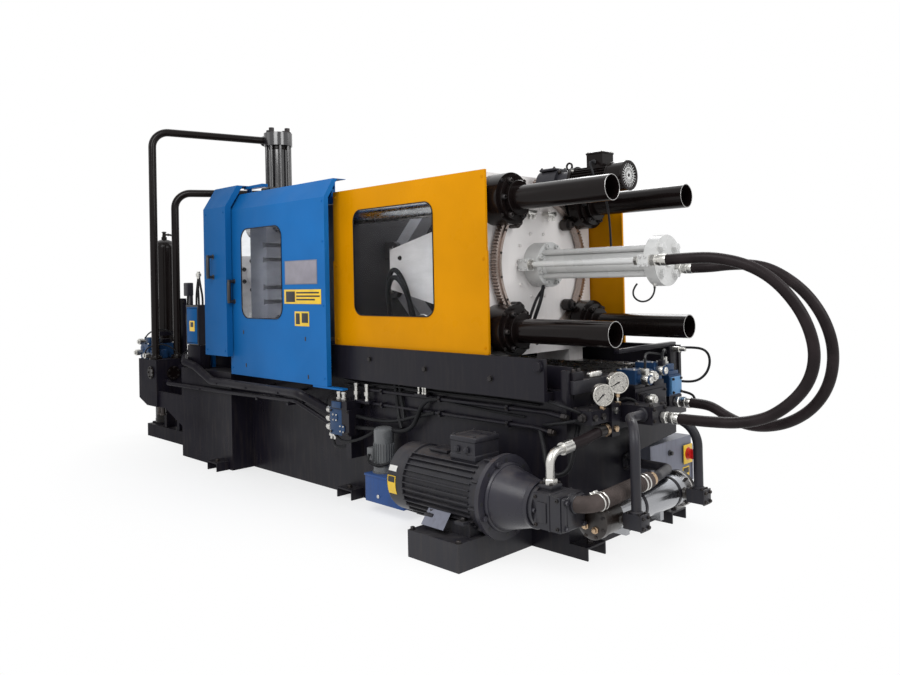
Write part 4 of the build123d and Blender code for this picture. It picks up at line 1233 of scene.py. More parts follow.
@dataclass
class NutCoverDetails:
    """Bolts on the nut covers and rims at the ends of the bar tubes."""

    spots: tuple[tuple[float, float], ...] = ((-0.35, 1.768), (0.35, 1.768), (-0.35, 1.068), (0.35, 1.068))
    flange_x: float = 2.272
    drum_x: float = 2.250
    tube_end_x: float = 2.870

    def build(self, bench: Bench) -> None:
        """Builds the fine pieces of all four covers.

        Args:
            bench: The bench that models the pieces.
        """
        flange, drum, collar = [], [], []
        for y, z in self.spots:
            flange += ring_of((self.flange_x, y, z), Way.RIGHT, 0.103, 6, 30.0)
            drum += ring_of((self.drum_x, y, z), Way.RIGHT, 0.128, 4, 45.0)
            collar += ring_of((2.288, y, z), Way.RIGHT, 0.0, 1)
        bench.bolts("cover_flange_bolts", 0.0125, 0.016, flange, BLACK_OXIDE)
        bench.bolts("cover_drum_bolts", 0.008, 0.007, drum, BLACK_OXIDE)
        step = bench.turned([(0, 0.091), (0.004, 0.093), (0.010, 0.093), (0.012, 0.091)], 48)
        bench.finish(bench.stamp(step, collar), "cover_collar_bands", GLOSS_BLACK)
        places = [Way.RIGHT.at((self.tube_end_x, y, z)) for y, z in self.spots]
        bench.finish(bench.stamp(bench.band(0.0618, 0.0017, 0.6), places), "tube_rims", GROUND_STEEL)
        plugs = [Way.RIGHT.at((self.tube_end_x - 0.22, y, z)) for y, z in self.spots]
        disc = bench.turned([(0, 0.0588), (0.006, 0.0588), (0.006, 0.050), (0.003, 0.048)], 32)
        bench.finish(bench.stamp(disc, plugs), "tube_plugs", BED_BLACK)


@dataclass
class RingDetails:
    """Bolts about the ring gear, and the tailstock's fine pieces."""

    axis_z: float = 1.418
    back_x: float = 2.120
    roller_x: float = 2.178
    roller_pitch: float = 0.3316

    def build(self, bench: Bench) -> None:
        """Builds the fine pieces around the ring.

        Args:
            bench: The bench that models the pieces.
        """
        bench.bolts("roller_bolts", 0.022, 0.020, ring_of((self.roller_x, 0, self.axis_z), Way.RIGHT,
                                                          self.roller_pitch, 4, 45.0), BLACK_OXIDE)
        places = ring_of((self.back_x, 0, self.axis_z), Way.RIGHT, 0.186, 10, 18.0)
        bench.bolts("centre_plate_bolts", 0.009, 0.008, places, TAIL_WHITE)
        bench.block_piece("shelf_clamp_left", (2.121, -0.126, 1.700), (2.170, -0.052, 1.724), ZINC)
        bench.block_piece("shelf_clamp_right", (2.121, 0.052, 1.700), (2.170, 0.126, 1.724), ZINC)
        clamps = [Way.DOWN.at((2.160, y, 1.700)) for y in (-0.108, -0.070, 0.070, 0.108)]
        bench.bolts("shelf_clamp_bolts", 0.010, 0.024, clamps, ZINC, socket=False)
        feet = [Way.UP.at((x, y, 0.905)) for x in (1.93, 2.06) for y in (-0.452, 0.452)]
        bench.bolts("shoe_screws", 0.014, 0.016, feet, BLACK_OXIDE, socket=False)
        bench.bolts("ring_race_screws", 0.0055, 0.004,
                    ring_of((2.174, 0, self.axis_z), Way.RIGHT, 0.374, 18, 0.0),
                    BLACK_OXIDE, body="ring_gear")
        for i, z in enumerate((1.10, 1.735)):
            bench.bolts(f"lifting_hole_{i}", 0.018, 0.006,
                        [Way.RIGHT.at((self.back_x, y, z)) for y in (-0.05, 0.05)], TAIL_WHITE)


@dataclass
class HeightDriveDetails:
    """Fins, grille, box lid and eyebolt of the height adjustment's motor."""

    axis_z: float = 1.865
    box_x: tuple[float, float] = (2.513, 2.613)
    fan_x: tuple[float, float] = (2.641, 2.739)

    def build(self, bench: Bench) -> None:
        """Builds the drive's fine pieces.

        Args:
            bench: The bench that models the pieces.
        """
        axis = (0.0, self.axis_z)
        fin = bench.block((2.425, -0.0022, 0.064), (2.636, 0.0022, 0.0775), 0.001, 1)
        places = [Matrix.Translation((0, 0, self.axis_z)) @ Matrix.Rotation(math.radians(a), 4, "X")
                  for a in range(0, 360, 12) if not 335 < a < 361 and not 0 <= a < 26]
        bench.finish(bench.stamp(fin, places), "height_motor_fins", GLOSS_BLACK)
        x1 = self.fan_x[1]
        bench.cap("fan_grille_rim", Way.RIGHT.at((x1 - 0.004, *axis)),
                  [(0, 0.079), (0.005, 0.080), (0.008, 0.078), (0.008, 0.064), (0.003, 0.062)], GLOSS_BLACK,
                  48)
        bar = bench.block((0, -0.0016, 0.010), (0.003, 0.0016, 0.063), 0.0006, 1)
        grille = [Matrix.Translation((x1 - 0.002, 0, self.axis_z)) @ Matrix.Rotation(math.radians(a), 4, "X")
                  for a in range(0, 360, 15)]
        bench.finish(bench.stamp(bar, grille), "fan_grille_bars", CYLINDER_SILVER)
        for i, r in enumerate((0.022, 0.042)):
            ring = bench.turned([(0, r), (0.003, r), (0.003, r - 0.003), (0.0005, r - 0.003)], 32)
            bench.finish(bench.settle(ring, Way.RIGHT.at((x1 - 0.001, *axis))), f"fan_grille_ring_{i}",
                         CYLINDER_SILVER)
        bench.cap("fan_cover_band", Way.RIGHT.at((self.fan_x[0] - 0.004, *axis)),
                  [(0, 0.0785), (0.002, 0.0805), (0.010, 0.0805), (0.012, 0.079)], GLOSS_BLACK, 48)
        bench.block_piece("height_box_lid", (self.box_x[0] - 0.004, -0.054, 1.991),
                          (self.box_x[1] + 0.004, 0.054, 2.003), GLOSS_BLACK, 0.004)
        lid = [Way.UP.at((x, y, 2.003)) for x in (self.box_x[0] + 0.006, self.box_x[1] - 0.006)
               for y in (-0.043, 0.043)]
        bench.bolts("height_box_screws", 0.005, 0.004, lid, ZINC)
        bench.cap("height_box_gland", Way.FRONT.at((2.563, -0.050, 1.950)),
                  [(0, 0.014), (0.008, 0.014), (0.010, 0.011), (0.022, 0.010)], HANDLE_BLACK, 6)
        bench.tube("height_motor_cable", [(2.563, -0.07, 1.950), (2.563, -0.10, 1.948), (2.590, -0.11, 1.90),
                                          (2.60, -0.10, 1.84), (2.60, -0.04, 1.79), (2.59, 0.02, 1.74),
                                          (2.585, 0.05, 1.60), (2.58, 0.06, 1.50)], 0.006, CABLE_BLACK)
        bench.eye("height_drive_eye", (2.362, 0.0, 1.925), 0.018, 0.0055, GLOSS_BLACK)
        bench.bolts("gearbox_bolts", 0.009, 0.010, ring_of((2.316, *axis), Way.RIGHT, 0.068, 6, 30.0),
                    BLACK_OXIDE)
        bench.bolts("motor_flange_bolts", 0.008, 0.009, ring_of((2.421, *axis), Way.RIGHT, 0.0735, 4, 45.0),
                    ZINC,
                    socket=False)
        bench.block_piece("gearbox_lid", (2.196, -0.060, 1.935), (2.306, 0.060, 1.950), MOTOR_GREY, 0.006)
        bench.bolts("gearbox_lid_bolts", 0.006, 0.006, [Way.UP.at((x, y, 1.950)) for x in (2.208, 2.294)
                                                        for y in (-0.048, 0.048)], BLACK_OXIDE)
        shelf = [Way.UP.at((x, y, 1.785)) for x in (2.20, 2.30) for y in (-0.112, 0.112)]
        bench.bolts("shelf_bolts", 0.011, 0.012, shelf, ZINC, socket=False)


@dataclass
class GuardDetails:
    """Seals, which also stand in for the shadow edge round the windows, overlap sheets and screws of the
    yellow guards.
    """

    face_y: float = -0.520
    window: tuple[float, float, float, float] = (1.095, 1.806, 1.140, 1.783)
    corner: float = 0.068

    def build(self, bench: Bench) -> None:
        """Builds the fine pieces of both guards.

        Args:
            bench: The bench that models the pieces.
        """
        x0, x1, z0, z1 = self.window
        for side, sign in (("front", 1), ("rear", -1)):
            y = sign * self.face_y
            right = 2.205 if side == "front" else 2.360
            # A black seal round each guard window, which also stands in for the thin shadow at the window's
            # edge: part seal, part painted shadow.
            bench.frame_piece(f"{side}_guard_seal_and_shadow", (x0, x1, z0, z1), y - sign * 0.0010, self.corner, 0.0055,
                              0.006,
                              SEAL_BLACK)
            screws = [(Way.FRONT if sign > 0 else Way.BACK).at((x, y, z))
                      for x in (0.915, right - 0.02) for z in (0.985, 1.45, 1.88)]
            bench.bolts(f"{side}_guard_screws", 0.007, 0.004, screws, GUARD_YELLOW)
        bench.block_piece("guard_lower_edge", (2.2045, -0.5225, 0.952), (2.2105, -0.506, 1.492), GUARD_YELLOW,
                          0.001)
        bench.block_piece("guard_left_edge", (0.884, -0.5225, 0.952), (0.891, -0.506, 1.478), GUARD_YELLOW,
                          0.001)
        hoses = (((1.20, -0.30, 1.02), (1.19, -0.33, 1.20), (1.20, -0.34, 1.36), (1.26, -0.34, 1.43),
                  (1.33, -0.33, 1.36), (1.37, -0.31, 1.22), (1.40, -0.30, 1.02)),
                 ((1.24, -0.32, 1.02), (1.22, -0.36, 1.20), (1.24, -0.37, 1.33), (1.30, -0.37, 1.38),
                  (1.37, -0.36, 1.32), (1.42, -0.34, 1.18), (1.45, -0.32, 1.02)))
        for i, line in enumerate(hoses):
            bench.tube(f"toggle_hose_{i}", list(line), 0.016, CABLE_BLACK)
        bench.tube("toggle_hose_loop", [(1.52, -0.36, 1.00), (1.50, -0.38, 1.09), (1.54, -0.38, 1.15),
                                        (1.60, -0.37, 1.13), (1.63, -0.36, 1.06), (1.66, -0.35, 0.99)],
                   0.006, ZINC)


@dataclass
class DoorDetails:
    """Seals, blank plates, painted slot shade and handle feet of the sliding doors."""

    face_y: float = -0.650
    narrow_y: float = -0.702
    window: tuple[float, float, float, float] = (-0.025, 0.488, 1.108, 1.731)
    corner: float = 0.080

    def plate(self, bench: Bench, name: str, box: tuple[float, float, float, float], finish: Finish,
              lift: float = 0.0022) -> None:
        """A thin blank plate on the wide door.

        Args:
            bench: The bench that models the pieces.
            name: The piece's name.
            box: Its lowest and highest X, then Z.
            finish: Its finish.
            lift: How far its face stands off the door's.
        """
        x0, x1, z0, z1 = box
        bench.block_piece(name, (x0, self.face_y - lift, z0), (x1, self.face_y + 0.0005, z1), finish, 0.0008,
                          body="front_door")

    def build(self, bench: Bench) -> None:
        """Builds the fine pieces of both doors.

        Args:
            bench: The bench that models the pieces.
        """
        bench.frame_piece("door_seal", self.window, self.face_y - 0.0010, self.corner, 0.0055, 0.006,
                          SEAL_BLACK,
                          body="front_door")
        self.plate(bench, "sign_plate", (0.527, 0.887, 1.336, 1.490), CABINET_GREY)
        self.plate(bench, "sign_plate_field", (0.533, 0.881, 1.342, 1.484), SIGN_GREY, 0.0030)
        self.plate(bench, "notice_plate", (0.515, 0.925, 1.210, 1.303), PLATE_YELLOW)
        self.plate(bench, "notice_plate_field", (0.537, 0.640, 1.222, 1.291), PRINT_BLACK, 0.0030)
        for i, (x1, z) in enumerate(((0.905, 1.277), (0.912, 1.255), (0.860, 1.233))):
            self.plate(bench, f"notice_bar_{i}", (0.655, x1, z, z + 0.010), PRINT_BLACK, 0.0030)
        self.plate(bench, "warning_plate", (0.632, 0.792, 1.068, 1.162), PLATE_YELLOW)
        self.plate(bench, "warning_plate_field", (0.712, 0.782, 1.090, 1.152), PRINT_BLACK, 0.0030)
        self.plate(bench, "warning_plate_mark", (0.646, 0.690, 1.080, 1.150), PRINT_BLACK, 0.0030)
        # Black plates at the door's slots: painted shade for the dark inside the slots.
        for i, (x, z) in enumerate(((-0.018, 0.995), (0.740, 0.975), (0.010, 0.765), (0.765, 0.735))):
            self.plate(bench, f"door_slot_shade_{i}", (x, x + 0.012, z, z + 0.026), PRINT_BLACK)
        feet = [Way.FRONT.at((-0.130, self.face_y, z)) for z in (1.223, 1.367)]
        bench.discs("door_handle_feet", 0.018, 0.004, feet, HANDLE_BLACK, body="front_door")
        feet = [Way.FRONT.at((-0.335, self.narrow_y, z)) for z in (1.401, 1.549)]
        bench.discs("narrow_handle_feet", 0.018, 0.004, feet, HANDLE_BLACK, body="narrow_door")
        grips = (("door_grip", -0.130, self.face_y - 0.042, 1.228, 1.362, "front_door"),
                 ("narrow_grip", -0.335, self.narrow_y - 0.042, 1.408, 1.542, "narrow_door"))
        for name, x, y, z0, z1, body in grips:
            bench.cap(name, Way.UP.at((x, y, z0)), [(0, 0.0118), (0.006, 0.0135), (z1 - z0 - 0.006, 0.0135),
                                                    (z1 - z0, 0.0118)], HANDLE_BLACK, 24, body=body)
        screws = [Way.FRONT.at((x, self.face_y, z)) for x in (-0.165, 0.945)
                  for z in (0.75, 1.20, 1.60, 1.85)]
        bench.bolts("door_screws", 0.006, 0.003, screws, DOOR_BLUE, body="front_door")
        hooks = [Way.FRONT.at((x, self.narrow_y, z)) for x in (-0.44, -0.18) for z in (0.87, 1.86)]
        bench.bolts("narrow_door_screws", 0.006, 0.003, hooks, DOOR_BLUE, body="narrow_door")


@dataclass
class MotorDetails:
    """Fine pieces of the pump's motor and its bellhousing."""

    axis: tuple[float, float] = (-0.725, 0.312)
    flange_x: float = 2.495
    stator: tuple[float, float] = (1.943, 2.410)
    fan_x: float = 1.828
    label_x: float = 1.862
    box: tuple[float, float, float, float] = (2.208, 2.372, -0.810, -0.640)

    def build(self, bench: Bench) -> None:
        """Builds the motor's fine pieces.

        Args:
            bench: The bench that models the pieces.
        """
        y, z = self.axis
        face = (self.flange_x, y, z)
        bench.bolts("motor_flange_heads", 0.013, 0.013, ring_of(face, Way.RIGHT, 0.176, 4, 22.5), CAST_GREY,
                    socket=False)
        # Black discs at the flange's bolt holes: painted shade for the dark inside the holes.
        holes = ring_of((self.flange_x - 0.0005, y, z), Way.RIGHT, 0.176, 8, 0.0)
        bench.discs("motor_flange_hole_shade", 0.010, 0.0012, holes, PRINT_BLACK)
        bench.cap("bell_collar", Way.RIGHT.at((2.492, y, z)), [(0, 0.160), (0.004, 0.162), (0.012, 0.161),
                                                               (0.020, 0.155)], CAST_GREY, 64)
        bench.cap("bell_neck", Way.RIGHT.at((2.676, y, z)), [(0, 0.106), (0.004, 0.109), (0.020, 0.109),
                                                             (0.024, 0.106)], CAST_GREY, 64)
        bench.bolts("bell_neck_bolts", 0.010, 0.012, ring_of((2.722, y, z), Way.RIGHT, 0.086, 4, 0.0),
                    CAST_GREY,
                    socket=False)
        bench.cap("shield_rim", Way.RIGHT.at((2.452, y, z)), [(0, 0.177), (0.004, 0.186), (0.014, 0.188),
                                                              (0.018, 0.184)], MOTOR_GREY, 64)
        rib = bench.block((2.414, -0.005, 0.168), (2.458, 0.005, 0.190), 0.002, 1)
        ribs = [Matrix.Translation((0, y, z)) @ Matrix.Rotation(math.radians(a), 4, "X")
                for a in range(20, 380, 40)]
        bench.finish(bench.stamp(rib, ribs), "shield_ribs", MOTOR_GREY)
        bench.cap("fan_cover_band_big", Way.RIGHT.at((self.stator[0] - 0.010, y, z)),
                  [(0, 0.176), (0.002, 0.179), (0.012, 0.179), (0.014, 0.176)], MOTOR_GREY, 64)
        bench.cap("fan_cover_nose", Way.LEFT.at((self.fan_x, y, z)),
                  [(0, 0.176), (0.006, 0.174), (0.014, 0.166),
                   (0.018, 0.150)], MOTOR_GREY, 64)
        # Black bars at the fan cover's inlet slots: painted shade for the dark inside the slots.
        slot = bench.block((-0.0015, -0.004, 0.045), (0.0015, 0.004, 0.140), 0.001, 1)
        slots = [Matrix.Translation((self.fan_x - 0.0185, y, z)) @ Matrix.Rotation(math.radians(a), 4, "X")
                 for a in range(0, 360, 12)]
        bench.finish(bench.stamp(slot, slots), "fan_inlet_slot_shade", PRINT_BLACK)
        x0, x1, y0, y1 = self.box
        bench.block_piece("terminal_lid", (x0 - 0.005, y0 - 0.005, 0.556), (x1 + 0.005, y1 + 0.005, 0.586),
                          MOTOR_GREY, 0.010, 4)
        bench.block_piece("terminal_foot", (x0 - 0.004, y0 - 0.004, 0.470), (x1 + 0.004, y1 + 0.004, 0.500),
                          MOTOR_GREY, 0.006, 3)
        lid = [Way.UP.at((x, yy, 0.586)) for x in (x0 + 0.012, x1 - 0.012) for yy in (y0 + 0.012, y1 - 0.012)]
        bench.bolts("terminal_lid_bolts", 0.007, 0.006, lid, MOTOR_GREY)
        bench.discs("terminal_lid_plate", 0.040, 0.004, [Way.UP.at(((x0 + x1) / 2, (y0 + y1) / 2, 0.585))],
                    MOTOR_GREY)
        glands = [Way.FRONT.at((x0 + 0.05, y0 - 0.004, 0.522)), Way.FRONT.at((x1 - 0.05, y0 - 0.004, 0.522))]
        gland = bench.turned([(0, 0.017), (0.006, 0.017), (0.008, 0.013), (0.012, 0.013), (0.014, 0.009)], 6)
        bench.finish(bench.stamp(gland, glands), "terminal_glands", MOTOR_GREY)
        bench.eye("motor_eye", (2.178, y, 0.492), 0.020, 0.0065, MOTOR_GREY)
        bench.block_piece("motor_eye_boss", (2.150, y - 0.028, 0.472), (2.206, y + 0.028, 0.496), MOTOR_GREY,
                          0.006)
        bench.block_piece("stator_top_pad", (2.02, y - 0.055, 0.474), (2.15, y + 0.055, 0.492), MOTOR_GREY,
                          0.005)
        foot = bench.block((-0.030, -0.060, 0.0), (0.030, 0.060, 0.018), 0.004, 2)
        feet = [Matrix.Translation((x, yy, 0.192)) for x in (2.15, 2.36) for yy in (-0.857, -0.593)]
        bench.finish(bench.stamp(foot, feet), "motor_foot_plates", MOTOR_GREY)
        bench.bolts("motor_foot_bolts", 0.015, 0.014, [Way.UP.at((x, yy, 0.210)) for x in (2.15, 2.36)
                                                       for yy in (-0.885, -0.565)], BLACK_OXIDE, socket=False)
        bench.tilted_plate("motor_bare_plate", (2.203, -0.908, 0.203), (0.077, 0.0015, 0.056), -38.0,
                           CABINET_GREY)
        labels = (("fan_yellow_plate", 0.030, 0.1785, range(82, 112, 5), PLATE_YELLOW),
                  ("fan_yellow_mark", 0.025, 0.1792, range(83, 88, 2), PRINT_BLACK),
                  ("fan_blank_plate", 0.029, 0.1785, range(65, 72, 4), DIAL_WHITE))
        for name, half, top, angles, finish in labels:
            strip = bench.block((-half, -0.0085, 0.1745), (half, 0.0085, top), 0.0004, 1)
            spots = [Matrix.Translation((self.label_x, y, z)) @ Matrix.Rotation(math.radians(a), 4, "X")
                     for a in angles]
            bench.finish(bench.stamp(strip, spots), name, finish)
        bench.tube("pump_side_hose", [(2.50, -0.475, 0.600), (2.56, -0.52, 0.53), (2.60, -0.56, 0.44),
                                      (2.66, -0.56, 0.40), (2.71, -0.52, 0.43), (2.70, -0.47, 0.52),
                                      (2.68, -0.40, 0.62)], 0.012, CABLE_BLACK)


@dataclass
class PumpDetails:
    """Covers and bolts of the pump, and the ends of its hoses."""

    low: Point = (2.722, -0.8075, 0.2345)
    high: Point = (2.872, -0.6425, 0.3895)

    def build(self, bench: Bench) -> None:
        """Builds the pump's fine pieces.

        Args:
            bench: The bench that models the pieces.
        """
        (x0, y0, z0), (x1, y1, z1) = self.low, self.high
        bench.block_piece("pump_end_cover", (x1 - 0.004, y0 + 0.004, z0 + 0.004),
                          (x1 + 0.016, y1 - 0.004, z1 - 0.004),
                          PUMP_GREY, 0.008, 3)
        bench.block_piece("pump_end_plate", (x1 + 0.014, -0.780, 0.262), (x1 + 0.020, -0.716, 0.352),
                          PUMP_GREY, 0.003)
        bench.block_piece("pump_split_line", (x0 + 0.085, y0 - 0.004, z0 - 0.002),
                          (x0 + 0.093, y1 + 0.003, z1 + 0.004),
                          PUMP_GREY, 0.002)
        bench.block_piece("pump_side_pad", (x0 + 0.020, y0 - 0.006, z0 + 0.030),
                          (x0 + 0.075, y0 + 0.002, z1 - 0.035),
                          PUMP_GREY, 0.003)
        corners = [Way.RIGHT.at((x1 + 0.016, y, z)) for y in (y0 + 0.020, y1 - 0.020)
                   for z in (z0 + 0.020, z1 - 0.022)]
        bench.bolts("pump_end_bolts", 0.011, 0.012, corners, CAST_GREY, socket=False)
        side = [Way.FRONT.at((x, y0, z)) for x in (x0 + 0.014, x1 - 0.016) for z in (z0 + 0.016, z1 - 0.016)]
        bench.bolts("pump_side_bolts", 0.007, 0.007, side, BLACK_OXIDE)
        bench.block_piece("pump_port_flange", (2.718, -0.766, 0.398), (2.794, -0.684, 0.420), PUMP_GREY,
                          0.006)
        port = [Way.UP.at((x, y, 0.420)) for x in (2.729, 2.783) for y in (-0.755, -0.695)]
        bench.bolts("pump_port_bolts", 0.007, 0.008, port, BLACK_OXIDE)
        bench.cap("elbow_nut", Way.UP.at((2.756, -0.725, 0.4115)),
                  [(0, 0.030), (0.003, 0.033), (0.026, 0.033),
                   (0.030, 0.030)], ZINC, 6)
        along = Vector((0.0, 0.150, 0.012)).normalized()
        bench.sleeve("pressure_ferrule_low", Vector((2.756, -0.602, 0.5613)), along, 0.070, 0.030, ZINC)
        end = Vector((0.0, 1.0, 0.0))
        bench.sleeve("pressure_ferrule_high", Vector((2.772, -0.352, 0.600)), end, 0.048, 0.029, BLACK_OXIDE)
        bench.sleeve("pressure_nut_high", Vector((2.772, -0.312, 0.600)), end, 0.022, 0.031, BRASS)
        bench.cap("hang_block_cap", Way.UP.at((2.766, -0.256, 0.725)),
                  [(0, 0.020), (0.010, 0.020), (0.012, 0.015),
                   (0.018, 0.015)], BLACK_OXIDE, 6)
        bench.cap("hang_block_plug", Way.RIGHT.at((2.797, -0.256, 0.690)), [(0, 0.016), (0.010, 0.016),
                                                                            (0.012, 0.010)], ZINC, 6)
        bench.cap("hang_block_port", Way.RIGHT.at((2.797, -0.256, 0.602)), [(0, 0.018), (0.008, 0.018),
                                                                            (0.010, 0.013)], BRASS, 6)


@dataclass
class SuctionDetails:
    """Clamps, ribs and coupling of the suction line."""

    bend: Point = (2.962, -0.725, 0.352)
    coupling: Point = (2.996, -0.290, 0.392)

    def build(self, bench: Bench) -> None:
        """Builds the suction line's fine pieces.

        Args:
            bench: The bench that models the pieces.
        """
        start, stop = Vector(self.bend), Vector(self.coupling)
        along = (stop - start).normalized()
        length = (stop - start).length
        turn = Vector((0, 0, 1)).rotation_difference(along).to_matrix().to_4x4()
        wrap = bench.turned([(0, 0.0368), (0.0022, 0.0388), (0.0058, 0.0388), (0.008, 0.0368)], 40)
        places = [Matrix.Translation(start + along * (0.085 + 0.0155 * i)) @ turn for i in range(20)]
        bench.finish(bench.stamp(wrap, places), "suction_ribs", SUCTION_CLOTH)
        for i, at in enumerate((0.070, 0.094, length - 0.060, length - 0.036)):
            spot = start + along * at
            bench.sleeve(f"suction_clamp_{i}", spot, along, 0.009, 0.0405, ZINC)
            screw = bench.block((-0.006, -0.014, 0.040), (0.006, 0.014, 0.054), 0.002, 1)
            bench.finish(bench.settle(screw, Matrix.Translation(spot) @ Matrix.Rotation(math.radians(-50), 4,
                                                                                        "Y")),
                         f"suction_clamp_screw_{i}", ZINC)
        bench.sleeve("suction_coupling", stop - along * 0.024, along, 0.046, 0.036, BRASS)
        bench.sleeve("suction_coupling_nut", stop + along * 0.016, along, 0.020, 0.032, BRASS)
        bench.cap("suction_flange", Way.RIGHT.at((2.872, -0.725, 0.352)),
                  [(0, 0.046), (0.010, 0.046), (0.012, 0.041), (0.030, 0.0405), (0.032, 0.038)], PUMP_GREY,
                  40)
        bench.cap("suction_wall_flange", Way.RIGHT.at((2.655, 0.045, 0.370)),
                  [(0, 0.046), (0.010, 0.046), (0.013, 0.032), (0.026, 0.029)], MOTOR_GREY, 40)
        bench.bolts("suction_wall_bolts", 0.007, 0.007,
                    ring_of((2.665, 0.045, 0.370), Way.RIGHT, 0.038, 4, 45.0),
                    BLACK_OXIDE)


@dataclass
class GaugeDetails:
    """Dials, needles and glasses of the two pressure gauges."""

    spots: tuple[Point, ...] = ((2.775, -0.338, 0.774), (2.775, -0.206, 0.820))
    turn_deg: float = -30.0
    radius: float = 0.052
    needles_deg: tuple[float, ...] = (222.0, 205.0)

    def build(self, bench: Bench) -> None:
        """Builds both dials.

        Args:
            bench: The bench that models the pieces.
        """
        turn = Matrix.Rotation(math.radians(self.turn_deg), 4, "Z") @ Matrix.Rotation(math.pi / 2, 4, "Y") \
            @ Matrix.Rotation(math.pi / 2, 4, "Z")
        for i, (spot, needle) in enumerate(zip(self.spots, self.needles_deg)):
            front = Matrix.Translation(Vector(spot)) @ turn @ Matrix.Translation((0, 0, 0.0162))
            dial = bench.turned([(-0.001, 0.047), (0.0004, 0.047), (0.0006, 0.0466)], 48)
            bench.finish(bench.settle(dial, front), f"gauge_dial_{i}", DIAL_WHITE)
            rim = bench.turned([(-0.012, 0.0530), (-0.010, 0.0545), (0.004, 0.0545), (0.0060, 0.0530),
                                (0.0060, 0.0478), (0.0009, 0.0470)], 56)
            bench.finish(bench.settle(rim, front), f"gauge_rim_{i}", GAUGE_STEEL)
            marks = []
            for k in range(31):
                a = math.radians(225.0 - 270.0 * k / 30)
                long_mark = k % 5 == 0
                marks.append((a, 0.0365 if long_mark else 0.0395, 0.0011 if long_mark else 0.0005))
            ticks = [bench.settle(bench.block((r, -w, 0.0010), (0.0435, w, 0.0016), 0.0001, 1),
                                  front @ Matrix.Rotation(a, 4, "Z")) for a, r, w in marks]
            bench.finish(bench.weld(ticks), f"gauge_marks_{i}", PRINT_BLACK)
            numbers = []
            for k in range(0, 41, 10):
                a = math.radians(225.0 - 270.0 * k / 40)
                at = Matrix.Translation((0.0300 * math.cos(a), 0.0300 * math.sin(a), 0.0010))
                numbers.append(bench.numeral(str(k), 0.0085, front @ at))
            bench.finish(bench.weld(numbers), f"gauge_numerals_{i}", PRINT_BLACK)
            hand = bench.turned([(-0.010, 0.0018), (0.0, 0.0026), (0.014, 0.0022), (0.042, 0.0009)], 8)
            aim = front @ Matrix.Translation((0, 0, 0.0030)) @ Matrix.Rotation(math.radians(needle), 4, "Z") \
                @ Matrix.Rotation(math.pi / 2, 4, "Y") @ Matrix.Diagonal((0.35, 1, 1, 1))
            bench.finish(bench.settle(hand, aim), f"gauge_needle_{i}", PRINT_BLACK)
            hub = bench.turned([(0.0010, 0.0045), (0.0038, 0.0045), (0.0046, 0.0030)], 24)
            bench.finish(bench.settle(hub, front), f"gauge_hub_{i}", PRINT_BLACK)
            glass = bench.turned([(0.0048, 0.0470), (0.0056, 0.0470), (0.0058, 0.0460)], 48)
            bench.finish(bench.settle(glass, front), f"gauge_glass_{i}", GAUGE_GLASS)
            x, y, z = spot
            bench.cap(f"gauge_hex_{i}", Way.UP.at((x, y, 0.705)), [(0, 0.015), (0.003, 0.017), (0.018, 0.017),
                                                                   (0.021, 0.014)], BRASS, 6)
            bench.cap(f"gauge_neck_{i}", Way.UP.at((x, y, z - self.radius - 0.022)),
                      [(0, 0.010), (0.002, 0.0125), (0.020, 0.0125), (0.024, 0.010)], BRASS, 24)


